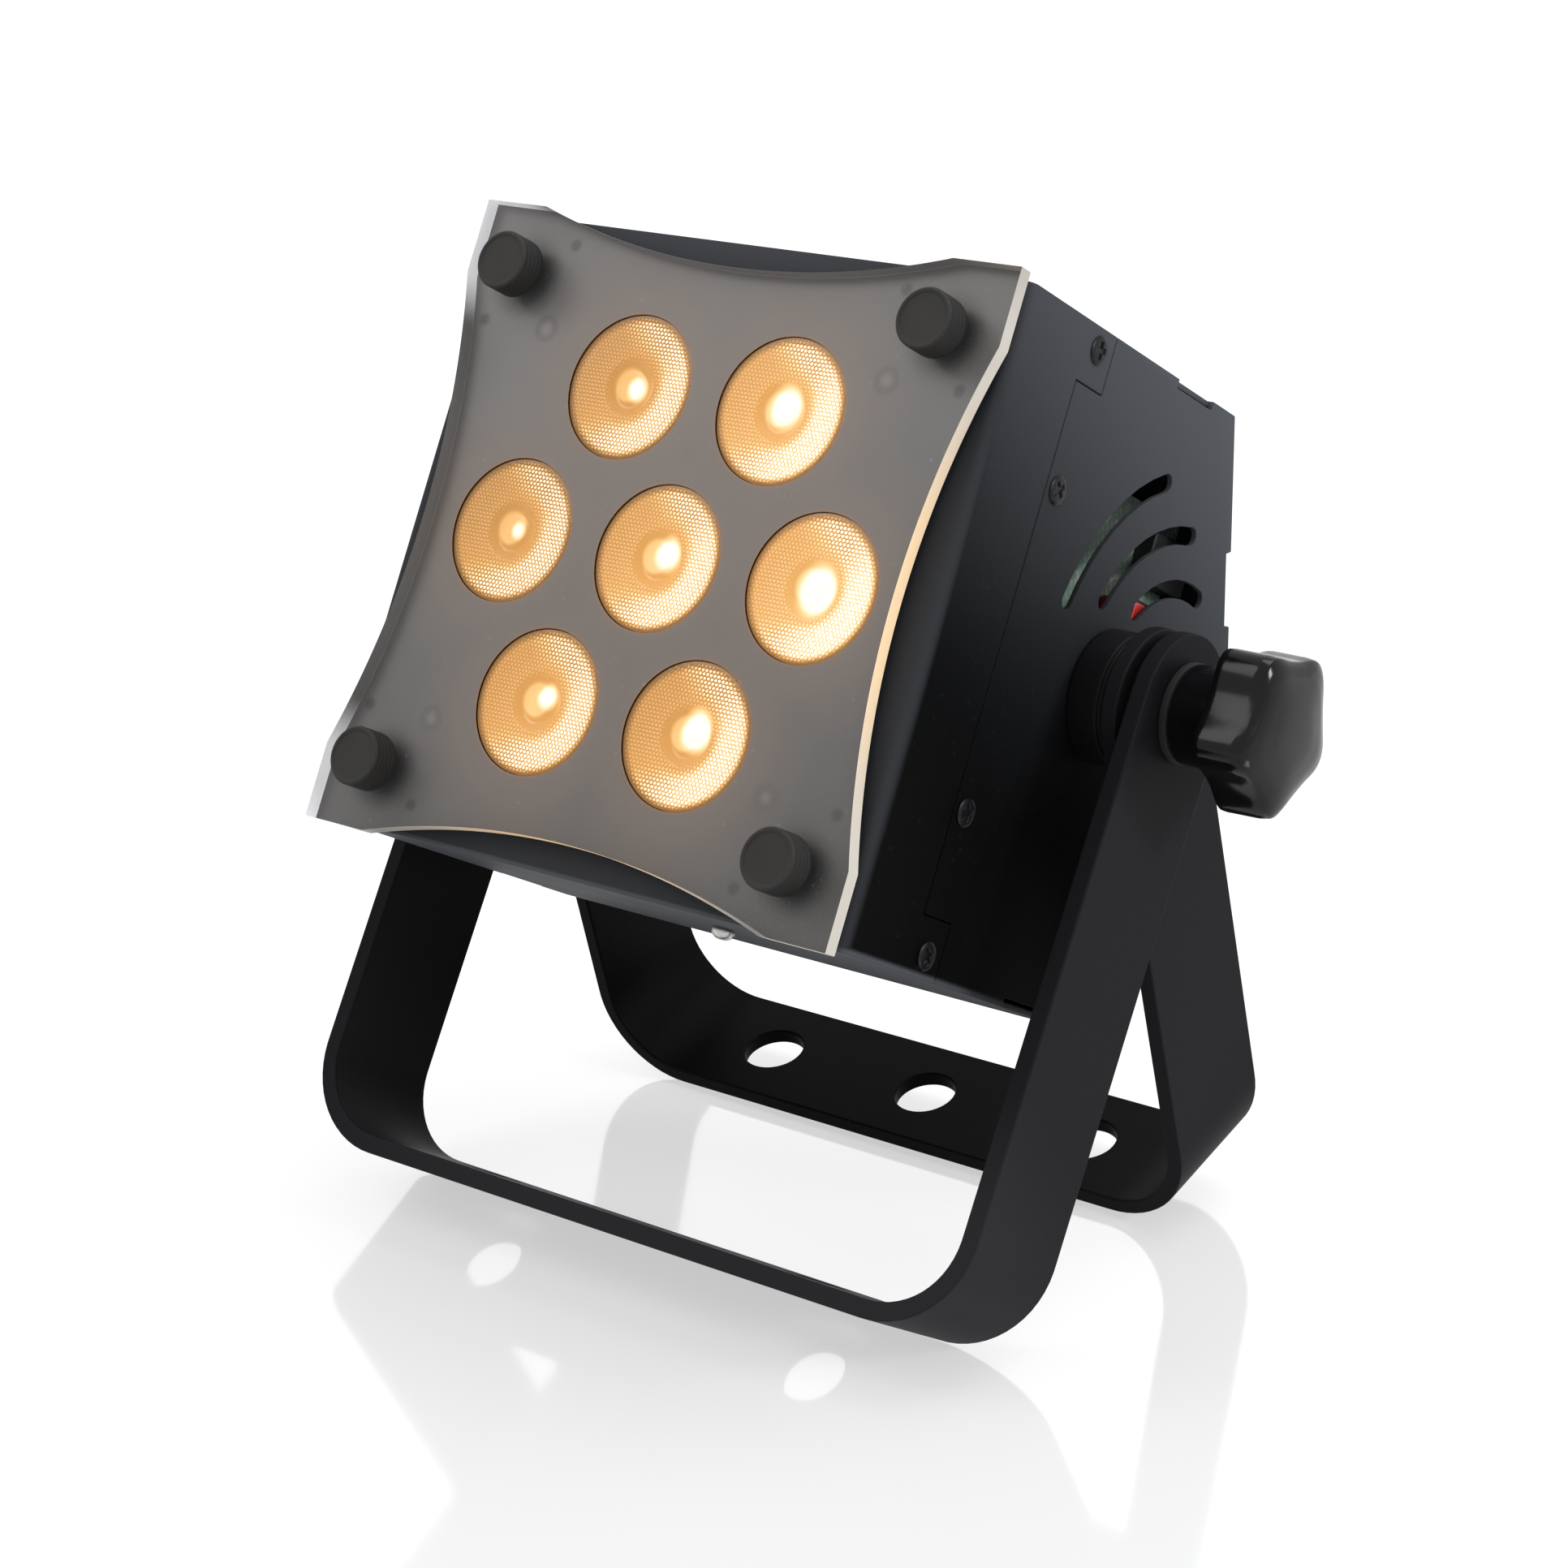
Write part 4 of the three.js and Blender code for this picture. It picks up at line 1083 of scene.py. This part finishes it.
class PARLIGHT_OT_rear_panel(bpy.types.Operator):
    """Makes the display, buttons, fuse holder and sockets of the rear walls"""

    bl_idname = "parlight.rear_panel"
    bl_label = "Rear panel"

    BUTTONS = {"menu": 28, "down": 41, "up": 54, "enter": 67}  # across
    UPPER_ROW = 4  # display and buttons, up the wall
    DISPLAY_ACROSS, DISPLAY_HALF = -18, (32, 14)
    FUSE_SPOT = (62, 0, -22)
    # node: across, well radius, finish
    SOCKETS = {
        "data_in_socket": (-54, 8.6, "black"),
        "data_out_socket": (-19, 8.6, "black"),
        "power_in_socket": (19, 8.0, "blue"),
        "power_out_socket": (54, 8.0, "grey"),
    }
    SOCKET_Z = -4

    def execute(self, context):
        sizes, colours = chosen(context)
        self.sizes = sizes
        black = satin_plastic(colours)
        self.display(black)
        for name, across in self.BUTTONS.items():
            profile = [(0, -1.5), (3.6, -1.5), (3.6, 2.2), (3.0, 2.6), (1.6, 2.35), (0, 2.3)]
            points = turned(softened(profile, 0.5), 48, centre=(across, 0, self.UPPER_ROW))
            node = f"{name}_button"
            self.add(f"{node}_cap", [points], [black], node, [node], "black_plastic", True)
        barrel = [
            (0, -12), (5, -12), (5, 0.3), (6.5, 0.3), (6.5, 3.6), (5.6, 5), (3.2, 5), (3.0, 3.8), (0, 3.8),
        ]
        points = turned(softened(barrel, 0.5), 72, centre=self.FUSE_SPOT)
        self.add("fuse_holder_cap", [points], [black], "head", ["fuse_holder"], "black_plastic", True)
        blue = moulded_finish("blue_plastic", (0.012, 0.07, 0.32), 0.35, 0.45, 1500, 0.05)
        grey = moulded_finish("grey_plastic", (0.52, 0.52, 0.5), 0.4, 0.45, 1500, 0.05)
        contact = metal_finish("contact_metal", (0.6, 0.5, 0.3), 0.25)
        shades = {
            "black": (black, "black_plastic"),
            "blue": (blue, "socket_blue"),
            "grey": (grey, "socket_grey"),
        }
        for node, (x, well, shade) in self.SOCKETS.items():
            finish, slot = shades[shade]
            self.socket(node, x, well, finish, slot, contact)
        return {"FINISHED"}

    def add(self, name, patches, finishes, body, nodes, slot, upper, **how):
        rows = [on_head(on_slope(patch, upper), self.sizes) for patch in patches]
        belongs(mesh_object(name, rows, finishes, **how), body, nodes, slot)

    def display(self, black):
        centre = (self.DISPLAY_ACROSS, 0, self.UPPER_ROW)
        frame_line = [(14, 0.3), (0, 0.3), (0, 1.5), (0.5, 2.0), (3.0, 2.0), (3.4, 1.3), (14, 1.3)]
        bezel = framed(*self.DISPLAY_HALF, softened(frame_line, 0.3)) + centre
        self.add("display_bezel", [bezel], [black], "head", ["display_panel"], "display_window", True)
        glass_line = [(14, 1.32), (3.5, 1.32), (3.5, 1.5), (3.7, 1.6), (14, 1.6)]
        glass = framed(*self.DISPLAY_HALF, glass_line) + centre
        self.add("display_glass", [glass], [glass_finish()], "head", [], "display_window", True)

    def socket(self, node, x, well, finish, slot, contact):
        """A square flange with a round lip and well, its screws in two corners and contacts in the well."""
        centre = np.array([x, 0, self.SOCKET_Z])
        flange_line = [(12.9, 0.35), (0, 0.35), (0, 1.8), (0.5, 2.2), (3.6, 2.2)]
        flange = framed(13, 13, softened(flange_line, 0.3), 2.0)
        lip_line = [(well + 2.2, 0.4), (well + 2.2, 2.6), (well + 1.7, 3), (well, 3), (well, -12), (0, -12)]
        lip = turned(softened(lip_line, 0.3), 72)
        outer = turned([(0, -13.2), (well + 1.8, -13.2), (well + 1.8, 0.4), (well + 2.2, 0.4)], 72)
        base = self.seam_ring(flange[-1], well + 2.2)
        patches = [flange, base, np.concatenate([outer, lip[1:]])]
        self.add(f"{node}_body", [patch + centre for patch in patches], [finish], "head", [node], slot, False)
        spots = np.array([(0, 4.2), (3.9, -2.4), (-3.9, -2.4)])
        for i, (across, up) in enumerate(spots, 1):
            profile = softened([(0, -12), (1.2, -12), (1.2, -4), (0.7, -3.2), (0, -3.1)], 0.3)
            pin = turned(profile, 20, centre=(across, 0, up))
            self.add(f"{node}_contact_{i}", [pin + centre], [contact], "head", [], "bare_steel", False)
        for i, sign in enumerate((1, -1), 1):
            a, b, height = cross_head(1.7, 0.35, 2.5, slot=0.3, slot_reach=0.95, slot_depth=0.5)
            a, b = np.vstack([a, a[-1:], a[-1:] * 0]), np.vstack([b, b[-1:], b[-1:] * 0])
            height = np.vstack([height, np.full((2, height.shape[1]), 2.0)])
            head = np.stack([a + sign * 10.6, height, b + sign * 10.6], -1)
            name, steel = f"{node}_screw_{i}", bright_steel()
            self.add(name, [head + centre], [steel], "head", [], "screw_steel", False, sharp=50)

    def seam_ring(self, rim, radius):
        """The flat ring between a flange's inner line and a circle, point by point at the same angle."""
        around = np.arctan2(rim[:, 0], rim[:, 2])
        circle = np.stack([radius * np.sin(around), rim[:, 1], radius * np.cos(around)], -1)
        return np.stack([rim, circle])


class PARLIGHT_OT_inner_parts(bpy.types.Operator):
    """Gives the CAD parts inside the head and behind the plate their finishes"""

    bl_idname = "parlight.inner_parts"
    bl_label = "Inner parts"

    def execute(self, context):
        colours = context.scene.par_light_colours
        black = satin_plastic(colours)
        rubber, steel = soft_rubber(), bright_steel()
        aluminium = metal_finish("extruded_aluminium", (0.6, 0.61, 0.62), 0.32, (1, 1, 0.05))
        case = metal_finish("supply_case_metal", (0.5, 0.51, 0.52), 0.4, (1, 0.1, 1))
        finishes = {
            "lens_tray": black,
            "led_board": board_finish("led_board", (0.7, 0.7, 0.67), (0.7, 0.55, 0.3)),
            "heat_sink": aluminium,
            "driver_board": board_finish("driver_board", colours.board, (0.3, 0.34, 0.29)),
            "power_supply": case,
        }
        for corner in CORNERS:
            finishes[f"plate_spacer_{corner}"] = rubber
            finishes[f"panel_screw_{corner}"] = steel
        for side in SIDES:
            finishes[f"pivot_bolt_{side}"] = steel
        for node, finish in finishes.items():
            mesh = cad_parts[node].data
            mesh.materials.clear()
            mesh.materials.append(finish)
        return {"FINISHED"}


# ---- Stage ------------------------------------------------------------------------------------------
class PARLIGHT_OT_stage(bpy.types.Operator):
    """Sets up the pale floor, the soft lights and the camera"""

    bl_idname = "parlight.stage"
    bl_label = "Stage"

    # name: position, aim, size, power, colour
    LIGHTS = {
        "key": ((-0.9, -0.9, 1.5), (0, 0, 0.15), 0.9, 9.0, (1, 0.985, 0.96)),
        "top": ((0.3, 0.5, 1.6), (0, 0, 0.15), 1.0, 12.0, (0.96, 0.98, 1)),
        "side_strip": ((1.5, 0.35, 0.75), (0.1, 0, 0.2), 0.35, 11.0, (0.95, 0.97, 1)),
    }
    FOCAL_LENGTH = 84.98
    SENSOR_WIDTH = 36
    # position, ahead, up
    CAMERA = (0.5704, -0.7357, 0.4285), (-0.5804, 0.7516, -0.3132), (-0.1862, 0.2519, 0.9496)

    def execute(self, context):
        scene = context.scene
        scene.view_settings.view_transform = "Standard"
        self.floor()
        world = bpy.data.worlds.new("studio")
        world.use_nodes = True
        background = world.node_tree.nodes["Background"].inputs
        background["Color"].default_value = (1, 1, 1, 1)
        background["Strength"].default_value = 1.0
        scene.world = world
        for name, (position, aim, size, power, tint) in self.LIGHTS.items():
            lamp = bpy.data.lights.new(name, "AREA")
            lamp.size = size
            lamp.energy = power
            lamp.color = tint
            self.put(name, lamp, looking(position, np.subtract(aim, position), (0, 0, 1)))
        lens = bpy.data.cameras.new("camera")
        lens.lens = self.FOCAL_LENGTH
        lens.sensor_width = self.SENSOR_WIDTH
        scene.camera = self.put("camera", lens, looking(*self.CAMERA))
        return {"FINISHED"}

    def put(self, name, data, placement):
        made = bpy.data.objects.new(name, data)
        bpy.context.scene.collection.objects.link(made)
        made.matrix_world = placement
        return made

    def floor(self):
        """A wide disc, made as a turned surface: a lit white table top under a glossy skin."""

        def paint(place):
            cloud = noise(place, 3, 2)
            return {
                "Base Color": cloud.mix((0.27, 0.27, 0.275, 1), (0.3, 0.3, 0.305, 1)),
                "Roughness": 0.07 + 0.04 * cloud,
            }

        skin = {"IOR": 1.9, "Coat_Weight": 0.4, "Coat_Roughness": 0.06}
        finish = material("pale_floor", paint, Emission_Color=(1, 1, 1, 1), Emission_Strength=0.57, **skin)
        disc = turned([(0, 0), (12, 0)], 96)[..., [0, 2, 1]]
        floor = mesh_object("floor", [disc], [finish], solid=False)
        floor.data.flip_normals()


def looking(position, ahead, up):
    """The placement of a lamp or camera that looks along ahead with up upwards."""
    back = -np.array(ahead, float) / np.linalg.norm(ahead)
    right = np.cross(up, back)
    right /= np.linalg.norm(right)
    turned_axes = np.column_stack([right, np.cross(back, right), back])
    return Matrix.Translation(position) @ Matrix(turned_axes.tolist()).to_4x4()


# ---- Panel and main ---------------------------------------------------------------------------------
OPERATORS = (
    PARLIGHT_OT_brackets,
    PARLIGHT_OT_housing,
    PARLIGHT_OT_front_plate,
    PARLIGHT_OT_thumb_screws,
    PARLIGHT_OT_lenses,
    PARLIGHT_OT_side_screws,
    PARLIGHT_OT_pivots,
    PARLIGHT_OT_clamp_knobs,
    PARLIGHT_OT_driver_parts,
    PARLIGHT_OT_rear_panel,
    PARLIGHT_OT_inner_parts,
    PARLIGHT_OT_stage,
)


class PARLIGHT_PT_panel(bpy.types.Panel):
    """Lists the light's sizes, colours and pieces in the sidebar"""

    bl_idname = "PARLIGHT_PT_panel"
    bl_label = "Par light"
    bl_space_type = "VIEW_3D"
    bl_region_type = "UI"
    bl_category = "Par light"

    def draw(self, context):
        for group in chosen(context):
            box = self.layout.box()
            for name in group.__annotations__:
                box.prop(group, name)
        for operator in OPERATORS:
            self.layout.operator(operator.bl_idname)


CLASSES = (ParLightSizes, ParLightColours, *OPERATORS, PARLIGHT_PT_panel)


def register():
    for item in CLASSES:
        bpy.utils.register_class(item)
    bpy.types.Scene.par_light_sizes = PointerProperty(type=ParLightSizes)
    bpy.types.Scene.par_light_colours = PointerProperty(type=ParLightColours)


def unregister():
    del bpy.types.Scene.par_light_colours
    del bpy.types.Scene.par_light_sizes
    for item in reversed(CLASSES):
        bpy.utils.unregister_class(item)


def main():
    register()
    for operator in OPERATORS:
        group, name = operator.bl_idname.split(".")
        getattr(getattr(bpy.ops, group), name)()


if __name__ == "__main__":
    main()
